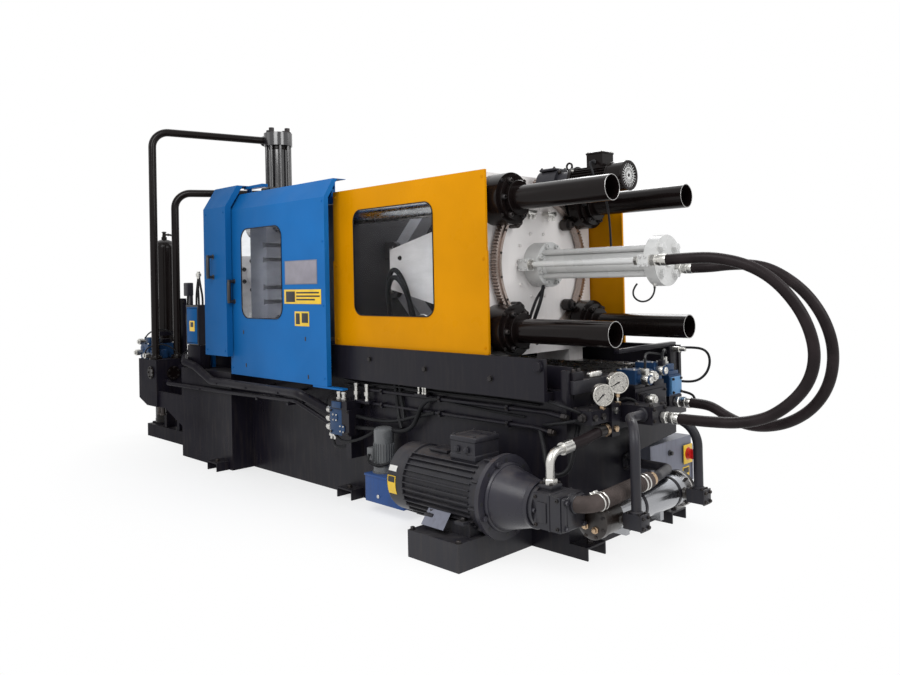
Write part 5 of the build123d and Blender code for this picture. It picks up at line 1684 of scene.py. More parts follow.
@dataclass
class CoolerDetails:
    """Caps, plugs, straps and block bolts of the oil cooler."""

    axis: tuple[float, float] = (2.905, 0.256)
    ports_y: tuple[float, float] = (-0.500, 0.060)

    def build(self, bench: Bench) -> None:
        """Builds the cooler's fine pieces.

        Args:
            bench: The bench that models the pieces.
        """
        x, z = self.axis
        bench.cap("cooler_front_cap", Way.FRONT.at((x, -0.590, z)),
                  [(-0.105, 0.0770), (-0.092, 0.0780), (-0.005, 0.0780), (0.0, 0.0830), (0.034, 0.0830),
                   (0.038, 0.0800), (0.046, 0.0620), (0.048, 0.0560)], CAP_BROWN, 56)
        bench.bolts("cooler_front_bolts", 0.0085, 0.009, ring_of((x, -0.628, z), Way.FRONT, 0.069, 8, 22.5),
                    BLACK_OXIDE, socket=False)
        plugs = [Way.FRONT.at((x - 0.022, -0.636, z - 0.020)), Way.FRONT.at((x + 0.030, -0.636, z - 0.030))]
        plug = bench.turned([(0, 0.017), (0.008, 0.017), (0.010, 0.012), (0.020, 0.012), (0.021, 0.010)], 6)
        bench.finish(bench.stamp(plug, plugs), "cooler_brass_plugs", BRASS)
        for i, y in enumerate((-0.300, 0.010)):
            bench.cap(f"cooler_strap_{i}", Way.BACK.at((x, y, z)),
                      [(0, 0.0765), (0.002, 0.0790), (0.020, 0.0790),
                       (0.022, 0.0765)], BED_BLACK, 56)
        bench.cap("cooler_back_rim", Way.BACK.at((x, 0.104, z)),
                  [(0, 0.0900), (0.003, 0.0925), (0.012, 0.0925),
                   (0.014, 0.0905)], GROUND_STEEL, 56)
        bench.cap("cooler_back_cap", Way.BACK.at((x, 0.116, z)),
                  [(0, 0.0905), (0.002, 0.0920), (0.024, 0.0920),
                   (0.030, 0.0860), (0.036, 0.0700)],
                  GLOSS_BLACK, 56)
        bench.bolts("cooler_back_bolts", 0.0085, 0.009, ring_of((x, 0.108, z), Way.FRONT, 0.083, 8, 0.0),
                    BLACK_OXIDE,
                    socket=False)
        for i, y in enumerate(self.ports_y):
            bench.cap(f"cooler_neck_{i}", Way.RIGHT.at((x + 0.055, y, z)),
                      [(0, 0.034), (0.018, 0.028), (0.034, 0.023), (0.036, 0.029), (0.046, 0.029)], CAP_BROWN,
                      32)
            heads = [Way.RIGHT.at((3.102, y + dy, z + dz + 0.002)) for dy in (-0.021, 0.021)
                     for dz in (-0.022, 0.022)]
            bench.bolts(f"cooler_block_bolts_{i}", 0.0080, 0.009, heads, BLACK_OXIDE)
            bench.block_piece(f"cooler_block_face_{i}", (3.094, y - 0.036, z - 0.036),
                              (3.103, y + 0.036, z + 0.040),
                              MOTOR_GREY, 0.004)
            tops = [Way.UP.at((3.057 + dx, y + dy, z + 0.036)) for dx in (-0.030, 0.030)
                    for dy in (-0.022, 0.022)]
            bench.bolts(f"arch_foot_bolts_{i}", 0.0065, 0.007, tops, BLACK_OXIDE)
            bench.cap(f"arch_foot_collar_{i}", Way.UP.at((3.057, y, z + 0.034)),
                      [(0, 0.030), (0.010, 0.030), (0.014, 0.0245)], MOTOR_GREY, 32)
        bench.cap("arch_wall_collar", Way.RIGHT.at((2.785, 0.060, 0.620)), [(0, 0.034), (0.008, 0.034),
                                                                            (0.012, 0.0245)], MOTOR_GREY, 32)
        bench.cap("arch_block_collar", Way.FRONT.at((2.905, -0.190, 0.672)), [(0, 0.034), (0.008, 0.034),
                                                                              (0.012, 0.0245)], MOTOR_GREY,
                  32)
        block = [Way.UP.at((xx, yy, 0.712)) for xx in (2.865, 2.945) for yy in (-0.175, -0.075)]
        bench.bolts("hose_block_bolts", 0.010, 0.010, block, BLACK_OXIDE)
        nose = [Way.RIGHT.at((2.960, yy, zz)) for yy in (-0.173, -0.077) for zz in (0.642, 0.698)]
        bench.bolts("hose_block_face_bolts", 0.008, 0.008, nose, BLACK_OXIDE)
        for name, x0, yy, zz in (("inner", 2.960, -0.100, 0.655), ("outer", 2.785, 0.335, 0.662)):
            bench.cap(f"return_hex_{name}", Way.RIGHT.at((x0 + 0.001, yy, zz)),
                      [(0, 0.027), (0.004, 0.031), (0.024, 0.031), (0.028, 0.026)], ZINC, 6)
            bench.cap(f"return_ferrule_{name}", Way.RIGHT.at((x0 + 0.040, yy, zz)),
                      [(0, 0.0265), (0.003, 0.0285), (0.024, 0.0285), (0.026, 0.0270), (0.028, 0.0285),
                       (0.050, 0.0285), (0.053, 0.0275)], ZINC)


@dataclass
class EndValveDetails:
    """Solenoids, screws and cables of the end manifold's valves."""


    def solenoid(self, bench: Bench, name: str, nose: Point, way: Way, finish: Finish) -> None:
        """A solenoid's coil and nut around a CAD stub.

        Args:
            bench: The bench that models the pieces.
            name: The piece's name.
            nose: The nose of the CAD stub.
            way: The way that it points.
            finish: Its finish.
        """
        bench.cap(f"{name}_coil", way.at(nose), [(-0.046, 0.0255), (-0.043, 0.0275), (-0.008, 0.0275),
                                                 (-0.005, 0.0255)], finish, 32)
        bench.cap(f"{name}_nut", way.at(nose), [(-0.006, 0.0200), (0.004, 0.0200), (0.007, 0.0165),
                                                (0.007, 0.0070), (0.004, 0.0060)], ZINC, 6)

    def build(self, bench: Bench) -> None:
        """Builds the fine pieces of the end valves.

        Args:
            bench: The bench that models the pieces.
        """
        self.solenoid(bench, "valve_one", (2.843, -0.004, 0.816), Way.RIGHT, ZINC)
        self.solenoid(bench, "valve_two", (2.825, 0.170, 0.846), Way.RIGHT, ZINC)
        boxes = (
            ("valve_one_plug", (2.790, -0.018, 0.838), (2.826, 0.012, 0.872), ZINC),
            ("valve_two_plug", (2.788, 0.156, 0.868), (2.818, 0.186, 0.900), BED_BLACK),
            ("valve_one_base", (2.660, -0.052, 0.766), (2.780, 0.046, 0.790), BED_BLACK),
            ("valve_two_base", (2.660, 0.122, 0.766), (2.786, 0.218, 0.796), BED_BLACK),
            ("valve_two_pilot", (2.672, 0.050, 0.790), (2.782, 0.118, 0.858), VALVE_BLUE),
            ("valve_three_front", (2.780, 0.284, 0.704), (2.796, 0.386, 0.796), VALVE_LIGHT),
            ("valve_three_cap", (2.668, 0.282, 0.801), (2.776, 0.388, 0.826), VALVE_BLUE),
            ("valve_three_top", (2.690, 0.300, 0.822), (2.760, 0.372, 0.862), VALVE_BLUE),
            ("valve_block_port_pad", (2.782, -0.048, 0.654), (2.794, 0.226, 0.752), BED_BLACK),
            ("shelf_front_lip", (2.780, -0.212, 0.592), (2.789, 0.442, 0.646), BED_BLACK),
            ("relief_block", (2.784, -0.036, 0.668), (2.820, 0.030, 0.742), BED_BLACK),
        )
        for name, low, high, finish in boxes:
            bench.block_piece(name, low, high, finish, 0.004, 3)
        self.solenoid(bench, "relief", (2.866, -0.003, 0.718), Way.RIGHT, ZINC)
        bench.cap("relief_screw", Way.RIGHT.at((2.820, 0.014, 0.684)),
                  [(0, 0.014), (0.010, 0.014), (0.012, 0.008),
                   (0.034, 0.008), (0.036, 0.006)], ZINC,
                  6)
        bench.cap("valve_three_gauge_stub", Way.UP.at((2.725, 0.336, 0.862)), [(0, 0.018), (0.012, 0.018),
                                                                               (0.014, 0.012), (0.034, 0.012),
                                                                               (0.038, 0.008)], ZINC, 6)
        self.solenoid(bench, "pilot", (2.820, 0.084, 0.824), Way.RIGHT, ZINC)
        heads = [Way.RIGHT.at((2.796, y, z)) for y in (0.294, 0.376) for z in (0.714, 0.786)]
        heads += [Way.RIGHT.at((2.794, y, z)) for y in (-0.038, 0.212) for z in (0.664, 0.742)]
        bench.bolts("end_valve_screws", 0.0065, 0.007, heads, BLACK_OXIDE)
        tops = [Way.UP.at((x, y, z)) for x in (2.680, 2.762) for y, z in ((-0.030, 0.862), (0.024, 0.862),
                                                                          (0.144, 0.886), (0.196, 0.886))]
        bench.bolts("end_valve_top_screws", 0.006, 0.006, tops, ZINC)
        cables = (
            ("coil_cable_one", [(2.808, -0.003, 0.872), (2.810, 0.000, 0.905), (2.790, 0.030, 0.925),
                                (2.740, 0.120, 0.935), (2.690, 0.260, 0.925), (2.670, 0.380, 0.905)]),
            ("coil_cable_two", [(2.803, 0.171, 0.900), (2.805, 0.175, 0.925), (2.780, 0.230, 0.945),
                                (2.730, 0.330, 0.940), (2.680, 0.420, 0.910)]),
            ("limit_loop",
             [(2.700, 0.500, 0.935), (2.790, 0.560, 0.940), (2.840, 0.600, 0.915), (2.850, 0.610, 0.850),
              (2.830, 0.590, 0.780), (2.780, 0.540, 0.740), (2.720, 0.500, 0.750)]),
            ("limit_loop_low", [(2.690, 0.470, 0.700), (2.770, 0.520, 0.690), (2.800, 0.530, 0.650),
                                (2.780, 0.500, 0.610), (2.720, 0.450, 0.620)]),
            ("gauge_line", [(2.700, -0.190, 0.672), (2.760, -0.160, 0.735), (2.800, -0.110, 0.730),
                            (2.820, -0.080, 0.690), (2.800, -0.060, 0.660)]),
            ("gauge_line_left", [(2.720, -0.440, 0.690), (2.700, -0.500, 0.720), (2.640, -0.520, 0.735),
                                 (2.580, -0.500, 0.745), (2.540, -0.470, 0.742)]),
            ("drain_line", [(2.720, -0.440, 0.660), (2.700, -0.510, 0.655), (2.620, -0.520, 0.640),
                            (2.560, -0.490, 0.625), (2.52, -0.468, 0.62)]),
        )
        for name, line in cables:
            bench.tube(name, line, 0.007 if "line" not in name else 0.008, CABLE_BLACK)
        bench.block_piece("limit_bracket", (2.656, 0.440, 0.690), (2.700, 0.520, 0.945), BED_BLACK, 0.004)
        bench.cap("limit_switch", Way.RIGHT.at((2.700, 0.470, 0.930)),
                  [(0, 0.016), (0.040, 0.016), (0.042, 0.010),
                   (0.075, 0.010)], ZINC, 24)
        bench.block_piece("limit_rail", (2.656, -0.050, 0.944), (2.690, 0.520, 0.968), BED_BLACK, 0.003)
        for i, (y, z) in enumerate(((-0.413, 0.672), (-0.345, 0.672))):
            bench.cap(f"gauge_block_plug_{i}", Way.RIGHT.at((2.785, y, z)), [(0, 0.017), (0.009, 0.017),
                                                                             (0.011, 0.011)], BLACK_OXIDE, 6)
        bench.cap("gauge_block_side_nut", Way.FRONT.at((2.740, -0.440, 0.672)), [(0, 0.022), (0.012, 0.022),
                                                                                 (0.014, 0.015),
                                                                                 (0.030, 0.015)], BLACK_OXIDE,
                  6)
        bench.bolts("gauge_block_bolts", 0.008, 0.008, [Way.UP.at((x, y, 0.705)) for x in (2.680, 2.766)
                                                        for y in (-0.424, -0.290)], BLACK_OXIDE)


@dataclass
class CabinetDetails:
    """Plates, hinge and latch of the main switch cabinet."""

    face_x: float = 2.760

    def build(self, bench: Bench) -> None:
        """Builds the cabinet's fine pieces.

        Args:
            bench: The bench that models the pieces.
        """
        bench.block_piece("switch_plate", (2.769, 0.430, 0.302), (2.7745, 0.520, 0.406), PLATE_YELLOW, 0.002)
        bench.cap("switch_ring", Way.RIGHT.at((2.7735, 0.476, 0.356)),
                  [(0, 0.034), (0.0005, 0.0345), (0.0013, 0.034)],
                  KNOB_RED, 40)
        bench.block_piece("cabinet_notice", (self.face_x - 0.0005, 0.436, 0.190),
                          (self.face_x + 0.0015, 0.506, 0.282),
                          PLATE_YELLOW, 0.0006)
        bench.block_piece("cabinet_notice_field", (self.face_x + 0.001, 0.442, 0.246),
                          (self.face_x + 0.0022, 0.500,
                           0.276), PRINT_BLACK, 0.0004)
        bench.block_piece("cabinet_door", (self.face_x - 0.001, 0.116, 0.156),
                          (self.face_x + 0.0006, 0.424, 0.442),
                          CABINET_GREY, 0.0004, 1)
        bench.cap("cabinet_latch", Way.RIGHT.at((self.face_x, 0.300, 0.385)), [(0, 0.016), (0.006, 0.016),
                                                                               (0.008, 0.011), (0.020, 0.011),
                                                                               (0.022, 0.008)], HANDLE_BLACK,
                  24)
        bench.block_piece("cabinet_hinge", (self.face_x - 0.002, 0.528, 0.20),
                          (self.face_x + 0.008, 0.540, 0.40),
                          CABINET_GREY, 0.003)
        dot = bench.block((0.0, -0.004, -0.004), (0.0022, 0.004, 0.004), 0.0008, 1)
        marks = [Matrix.Translation((2.8095, 0.476, 0.356 + dz)) for dz in (0.020,)]
        bench.finish(bench.stamp(dot, marks), "knob_mark", DIAL_WHITE, body="switch_knob")


@dataclass
class BedDetails:
    """Bolts, pipes, fittings and cables on the bed's front and end."""

    beam_y: float = -0.540

    def build(self, bench: Bench) -> None:
        """Builds the bed's fine pieces.

        Args:
            bench: The bench that models the pieces.
        """
        bolts = [Way.FRONT.at((x, self.beam_y, z)) for x, z in ((1.255, 0.878), (2.235, 0.832), (1.74, 0.85))]
        bench.bolts("beam_bolts", 0.014, 0.012, bolts, BLACK_OXIDE, socket=False)
        back = [Way.BACK.at((x, -self.beam_y, z)) for x, z in ((1.255, 0.878), (2.235, 0.832), (1.74, 0.85))]
        bench.bolts("rear_beam_bolts", 0.014, 0.012, back, BLACK_OXIDE, socket=False)
        boss = [Way.FRONT.at((2.552, -0.554, 0.914)), Way.BACK.at((2.676, 0.554, 0.914))]
        bench.discs("beam_boss_caps", 0.024, 0.004, boss, BED_BLACK)
        fittings = [Way.UP.at((x, -0.500, 0.615)) for x in (1.067, 1.172)]
        body = bench.turned([(0, 0.016), (0.012, 0.016), (0.014, 0.012), (0.030, 0.012), (0.032, 0.018),
                             (0.056, 0.018),
                             (0.058, 0.013), (0.085, 0.013), (0.087, 0.016), (0.104, 0.016)], 12)
        bench.finish(bench.stamp(body, fittings), "front_silver_fittings", ZINC)
        small = [Way.UP.at((x, -0.490, 0.698)) for x in (1.632, 1.667, 1.687)]
        nut = bench.turned([(0, 0.010), (0.012, 0.010), (0.014, 0.007), (0.030, 0.007), (0.032, 0.010),
                            (0.044, 0.010)], 6)
        bench.finish(bench.stamp(nut, small), "front_small_fittings", ZINC)
        bench.block_piece("front_fitting_rail", (1.030, -0.516, 0.598), (1.210, -0.4615, 0.616), BED_BLACK,
                          0.003)
        bench.block_piece("small_fitting_rail", (1.610, -0.506, 0.686), (1.710, -0.4615, 0.699), BED_BLACK,
                          0.003)
        lines = (
            ("bed_hose_a",
             [(1.105, -0.530, 0.450), (1.247, -0.540, 0.462), (1.406, -0.530, 0.468), (1.530, -0.520, 0.474),
              (1.600, -0.515, 0.509), (1.636, -0.510, 0.564), (1.654, -0.500, 0.622),
              (1.690, -0.495, 0.660),
              (1.735, -0.492, 0.676), (1.790, -0.490, 0.682)], 0.0125),
            ("bed_hose_b",
             [(1.105, -0.530, 0.520), (1.196, -0.520, 0.512), (1.328, -0.505, 0.508), (1.456, -0.500, 0.522),
              (1.614, -0.492, 0.570), (1.756, -0.486, 0.600)], 0.0110),
            ("bed_hose_c",
             [(0.930, -0.570, 0.400), (0.976, -0.565, 0.352), (1.098, -0.560, 0.368), (1.216, -0.545, 0.410),
              (1.284, -0.525, 0.455)], 0.0090),
            ("bed_hose_d",
             [(1.405, -0.470, 0.740), (1.422, -0.480, 0.666), (1.435, -0.480, 0.585), (1.470, -0.500, 0.529),
              (1.500, -0.510, 0.487)], 0.0120),
            ("bed_hose_e",
             [(1.440, -0.468, 0.740), (1.462, -0.478, 0.660), (1.480, -0.478, 0.590), (1.510, -0.500, 0.530)],
             0.0100),
            ("lube_motor_cable", [(1.340, -0.627, 0.335), (1.345, -0.645, 0.310), (1.362, -0.640, 0.288),
                                  (1.395, -0.620, 0.276), (1.430, -0.600, 0.276), (1.452, -0.570, 0.290)],
             0.0080),
            ("bed_cable_a",
             [(0.92, -0.475, 0.73), (1.10, -0.480, 0.715), (1.40, -0.478, 0.722), (1.80, -0.478, 0.715),
              (2.20, -0.476, 0.722), (2.50, -0.475, 0.715)], 0.006),
            ("bed_cable_b",
             [(0.92, -0.470, 0.70), (1.20, -0.470, 0.688), (1.60, -0.470, 0.70), (1.95, -0.470, 0.655),
              (2.40, -0.470, 0.645)], 0.0045),
        )
        for name, line, radius in lines:
            bench.tube(name, line, radius, CABLE_BLACK)
        for x in (1.300, 1.800, 2.300):
            spots = [Way.FRONT.at((x, -0.4975, z)) for z in (0.682, 0.600)]
            bench.bolts(f"pipe_clamp_bolts_{int(x * 10)}", 0.006, 0.006, spots, BLACK_OXIDE)
        ends = [Way.LEFT.at((1.130, -0.4815, z)) for z in (0.682, 0.600)]
        cap = bench.turned([(-0.030, 0.018), (-0.008, 0.018), (-0.006, 0.014), (0.0, 0.014)], 6)
        bench.finish(bench.stamp(cap, ends), "pipe_end_nuts", BLACK_OXIDE)
        cap = bench.turned([(-0.004, 0.019), (0.018, 0.019), (0.020, 0.014), (0.030, 0.014)], 6)
        tips = [Matrix.Translation((2.655, -0.4905, 0.6735)) @ Way.RIGHT.turn(),
                Matrix.Translation((2.575, -0.4905, 0.5915)) @ Way.RIGHT.turn()]
        bench.finish(bench.stamp(cap, tips), "pipe_tip_nuts", BLACK_OXIDE)
        bench.block_piece("end_riser", (2.640, -0.485, 0.640), (2.672, -0.445, 0.895), BED_BLACK, 0.004)
        bench.block_piece("end_channel", (2.650, -0.446, 0.777), (2.692, -0.118, 0.842), MOTOR_GREY, 0.004)
        bench.block_piece("end_lever_block", (2.655, -0.300, 0.840), (2.688, -0.195, 0.872), ZINC, 0.012, 4)
        bench.block_piece("end_fitting_block", (2.655, -0.440, 0.840), (2.688, -0.360, 0.884), BED_BLACK,
                          0.006, 3)
        bench.block_piece("rail_cover_sheet", (2.280, -0.408, 0.742), (2.655, -0.398, 0.905), BED_BLACK,
                          0.002)
        posts = [Way.UP.at((2.672, y, 0.883)) for y in (-0.422, -0.380)]
        bench.bolts("end_fitting_bolts", 0.010, 0.014, posts, BLACK_OXIDE, socket=False)
        rails = [Way.UP.at((x, y, 0.850)) for y in (-0.35, 0.35) for x in (-0.15, 0.15, 1.75, 2.30, 2.47)]
        bench.bolts("rail_screws", 0.012, 0.006, rails, BLACK_OXIDE)
        plinth = [Way.UP.at((x, y, 0.132)) for x in (2.090, 2.405) for y in (-0.965, -0.50)]
        bench.bolts("plinth_bolts", 0.012, 0.012, plinth, BLACK_OXIDE, socket=False)
        feet = [Way.UP.at((x, y, 0.062)) for x, y in ((0.995, -0.510), (-0.340, -0.690), (0.995, 0.510),
                                                      (-0.340, 0.690), (2.725, -0.390), (2.725, 0.390))]
        bench.bolts("floor_foot_bolts", 0.015, 0.014, feet, BLACK_OXIDE, socket=False)
        weld = bench.block((-0.2215, -0.4650, 0.002), (-0.2175, -0.4605, 0.788), 0.001, 1)
        bench.finish(weld, "base_weld", BED_BLACK)
        bench.cap("lube_motor_cap", Way.UP.at((1.385, -0.5515, 0.466)),
                  [(0, 0.0585), (0.010, 0.057), (0.020, 0.046),
                   (0.024, 0.030)], LUBE_GREY, 40)
        bench.cap("lube_motor_shell", Way.UP.at((1.385, -0.5515, 0.226)), [(0, 0.0575), (0.175, 0.0575),
                                                                           (0.178, 0.0585), (0.242, 0.0585)],
                  LUBE_GREY, 48)
        rib = bench.block((-0.0016, 0.054, 0.268), (0.0016, 0.0625, 0.398), 0.0006, 1)
        ribs = [Matrix.Translation((1.385, -0.5515, 0)) @ Matrix.Rotation(math.radians(a), 4, "Z")
                for a in range(0, 360, 15)]
        bench.finish(bench.stamp(rib, ribs), "lube_motor_ribs", LUBE_GREY)
        bench.cap("lube_motor_flange", Way.UP.at((1.385, -0.5515, 0.226)), [(0, 0.070), (0.010, 0.070),
                                                                            (0.012, 0.064), (0.038, 0.062)],
                  LUBE_GREY)
        bench.block_piece("lube_motor_box", (1.312, -0.622, 0.300), (1.364, -0.575, 0.372), LUBE_GREY, 0.005)
        bench.bolts("lube_tank_plug", 0.012, 0.008, [Way.FRONT.at((1.44, -0.6415, 0.110))], ZINC,
                    socket=False)
        bench.block_piece("lube_tank_side", (1.318, -0.6440, 0.067), (1.655, -0.4620, 0.222), TANK_BLUE,
                          0.004)
        bench.block_piece("lube_tank_lid", (1.314, -0.648, 0.214), (1.659, -0.4620, 0.228), TANK_BLUE, 0.003)


@dataclass
class FrontValveDetails:
    """Solenoids, plugs and screws of the front valve block."""

    face_y: float = -0.5835

    def build(self, bench: Bench) -> None:
        """Builds the fine pieces of the front valve block.

        Args:
            bench: The bench that models the pieces.
        """
        stubs = [Way.LEFT.at((0.905, -0.545, z)) for z in (0.540, 0.486, 0.432)]
        coil = bench.turned([(0, 0.020), (0.030, 0.020), (0.032, 0.024), (0.064, 0.024), (0.066, 0.016),
                             (0.080, 0.016),
                             (0.083, 0.012)], 24)
        bench.finish(bench.stamp(coil, stubs), "front_valve_coils", ZINC)
        low = [Way.DOWN.at((x, -0.555, 0.420)) for x in (0.880, 0.915)]
        tap = bench.turned([(0, 0.013), (0.022, 0.013), (0.024, 0.018), (0.040, 0.018), (0.042, 0.011),
                            (0.060, 0.011)], 12)
        bench.finish(bench.stamp(tap, low), "front_valve_taps", ZINC)
        top = [Way.UP.at((x, -0.545, 0.612)) for x in (0.950, 1.000)]
        knob = bench.turned([(0, 0.020), (0.014, 0.020), (0.016, 0.014), (0.034, 0.014), (0.036, 0.018),
                             (0.050, 0.018), (0.052, 0.010)], 12)
        bench.finish(bench.stamp(knob, top), "front_valve_knobs", ZINC)
        discs = [Way.FRONT.at((x, self.face_y, z)) for x, z in ((0.960, 0.505), (1.030, 0.440))]
        disc = bench.turned([(0, 0.026), (0.006, 0.026), (0.008, 0.020), (0.005, 0.016)], 32)
        bench.finish(bench.stamp(disc, discs), "front_valve_covers", VALVE_BLUE)
        for i, (x, z) in enumerate(((0.960, 0.505), (1.030, 0.440))):
            bench.bolts(f"front_cover_bolts_{i}", 0.0045, 0.004,
                        ring_of((x, self.face_y - 0.007, z), Way.FRONT, 0.0225, 4, 45.0), ZINC)
        corner = [Way.FRONT.at((x, self.face_y, z)) for x in (0.918, 1.082) for z in (0.414, 0.546)]
        bench.bolts("front_block_bolts", 0.0075, 0.007, corner, BLACK_OXIDE)
        bench.block_piece("front_valve_body", (0.902, -0.5845, 0.396), (1.022, -0.505, 0.566), VALVE_BLUE,
                          0.003)
        bench.block_piece("front_valve_upper", (0.940, -0.600, 0.566), (1.030, -0.588, 0.606), VALVE_BLUE,
                          0.003)
        bench.tube("front_valve_line", [(0.90, -0.555, 0.365), (0.90, -0.56, 0.33), (0.95, -0.565, 0.315),
                                        (1.02, -0.55, 0.325), (1.06, -0.53, 0.36)], 0.009, CABLE_BLACK)
        bench.tube("front_valve_cable", [(0.83, -0.545, 0.54), (0.80, -0.545, 0.58), (0.84, -0.53, 0.64),
                                         (0.95, -0.50, 0.68), (1.05, -0.48, 0.70)], 0.005, CABLE_BLACK)


@dataclass
class AccumulatorDetails:
    """Nuts, bolts and flanges of the accumulator, its pipes and the gas bottle."""

    axis: tuple[float, float] = (-1.150, 0.390)
    head: tuple[float, float] = (2.575, 2.690)

    def build(self, bench: Bench) -> None:
        """Builds the accumulator's fine pieces.

        Args:
            bench: The bench that models the pieces.
        """
        x, y = self.axis
        base = ring_of((x, y, 0.300), Way.UP, 0.104, 8, 22.5)
        bench.bolts("rod_foot_nuts", 0.022, 0.020, base, BLACK_OXIDE, socket=False)
        top = ring_of((x, y, self.head[1]), Way.UP, 0.098, 4, 22.5)
        bench.bolts("head_upper_nuts", 0.026, 0.036, top, BLACK_OXIDE, socket=False)
        bench.cap("shell_top_ring", Way.UP.at((x, y, 2.540)), [(0, 0.0805), (0.004, 0.087), (0.030, 0.087),
                                                               (0.034, 0.0805)], GLOSS_BLACK, 48)
        bench.cap("shell_foot_ring", Way.UP.at((x, y, 0.300)), [(0, 0.092), (0.020, 0.092), (0.026, 0.0805)],
                  GLOSS_BLACK, 48)
        bench.cap("gas_pipe_flange", Way.LEFT.at((-1.262, 0.322, 2.632)),
                  [(0, 0.046), (0.012, 0.046), (0.014, 0.038),
                   (0.030, 0.036)], GLOSS_BLACK)
        collars = [Way.UP.at((-1.560, -0.590, 0.727)), Way.UP.at((-1.512, -0.420, 0.727))]
        flange = bench.turned([(0, 0.052), (0.016, 0.052), (0.018, 0.044), (0.034, 0.040), (0.038, 0.0325)],
                              32)
        bench.finish(bench.stamp(flange, collars), "pipe_foot_flanges", GLOSS_BLACK)
        for i, spot in enumerate(((-1.560, -0.590, 0.743), (-1.512, -0.420, 0.743))):
            bench.bolts(f"pipe_foot_bolts_{i}", 0.007, 0.008, ring_of(spot, Way.UP, 0.046, 4, 45.0),
                        BLACK_OXIDE)
        port = [Way.FRONT.at((x + dx, 0.255, z)) for dx in (-0.052, 0.052) for z in (2.096, 2.184)]
        bench.bolts("oil_port_bolts", 0.010, 0.010, port, BLACK_OXIDE)
        bench.cap("oil_port_collar", Way.FRONT.at((x, 0.256, 2.140)),
                  [(0, 0.050), (0.012, 0.050), (0.016, 0.036),
                   (0.026, 0.0335)], GLOSS_BLACK)
        bx, by = -1.978, -0.304
        for name, placement, profile, finish, sides in (
                ("bottle_valve", Way.UP.at((bx, by, 1.790)),
                 [(0, 0.0155), (0.004, 0.019), (0.014, 0.019), (0.018, 0.0155)], GLOSS_BLACK, 6),
                ("bottle_valve_port", Way.BACK.at((bx, by + 0.010, 1.812)),
                 [(0, 0.009), (0.022, 0.009), (0.024, 0.012), (0.034, 0.012)], BLACK_OXIDE, 6),
                ("bottle_hand_wheel", Way.UP.at((bx, by, 1.826)),
                 [(0, 0.012), (0.004, 0.021), (0.010, 0.021), (0.014, 0.012)], HANDLE_BLACK, 24),
                ("bottle_band", Way.UP.at((bx, by, 0.90)),
                 [(0, 0.0975), (0.002, 0.100), (0.036, 0.100), (0.038, 0.0975)], BED_BLACK, 48),
                ("bottle_foot", Way.UP.at((bx, by, 0.122)), [(0, 0.100), (0.030, 0.100), (0.034, 0.0972)],
                 GLOSS_BLACK, 48)):
            bench.cap(name, placement, profile, finish, sides)
        bench.tube("bottle_hose",
                   [(bx, by + 0.044, 1.812), (bx, by + 0.085, 1.810), (bx - 0.01, by + 0.115, 1.760),
                    (bx - 0.01, by + 0.118, 1.500), (bx + 0.01, by + 0.118, 1.000),
                    (-1.90, -0.20, 0.70),
                    (-1.80, -0.33, 0.62)], 0.009, CABLE_BLACK)


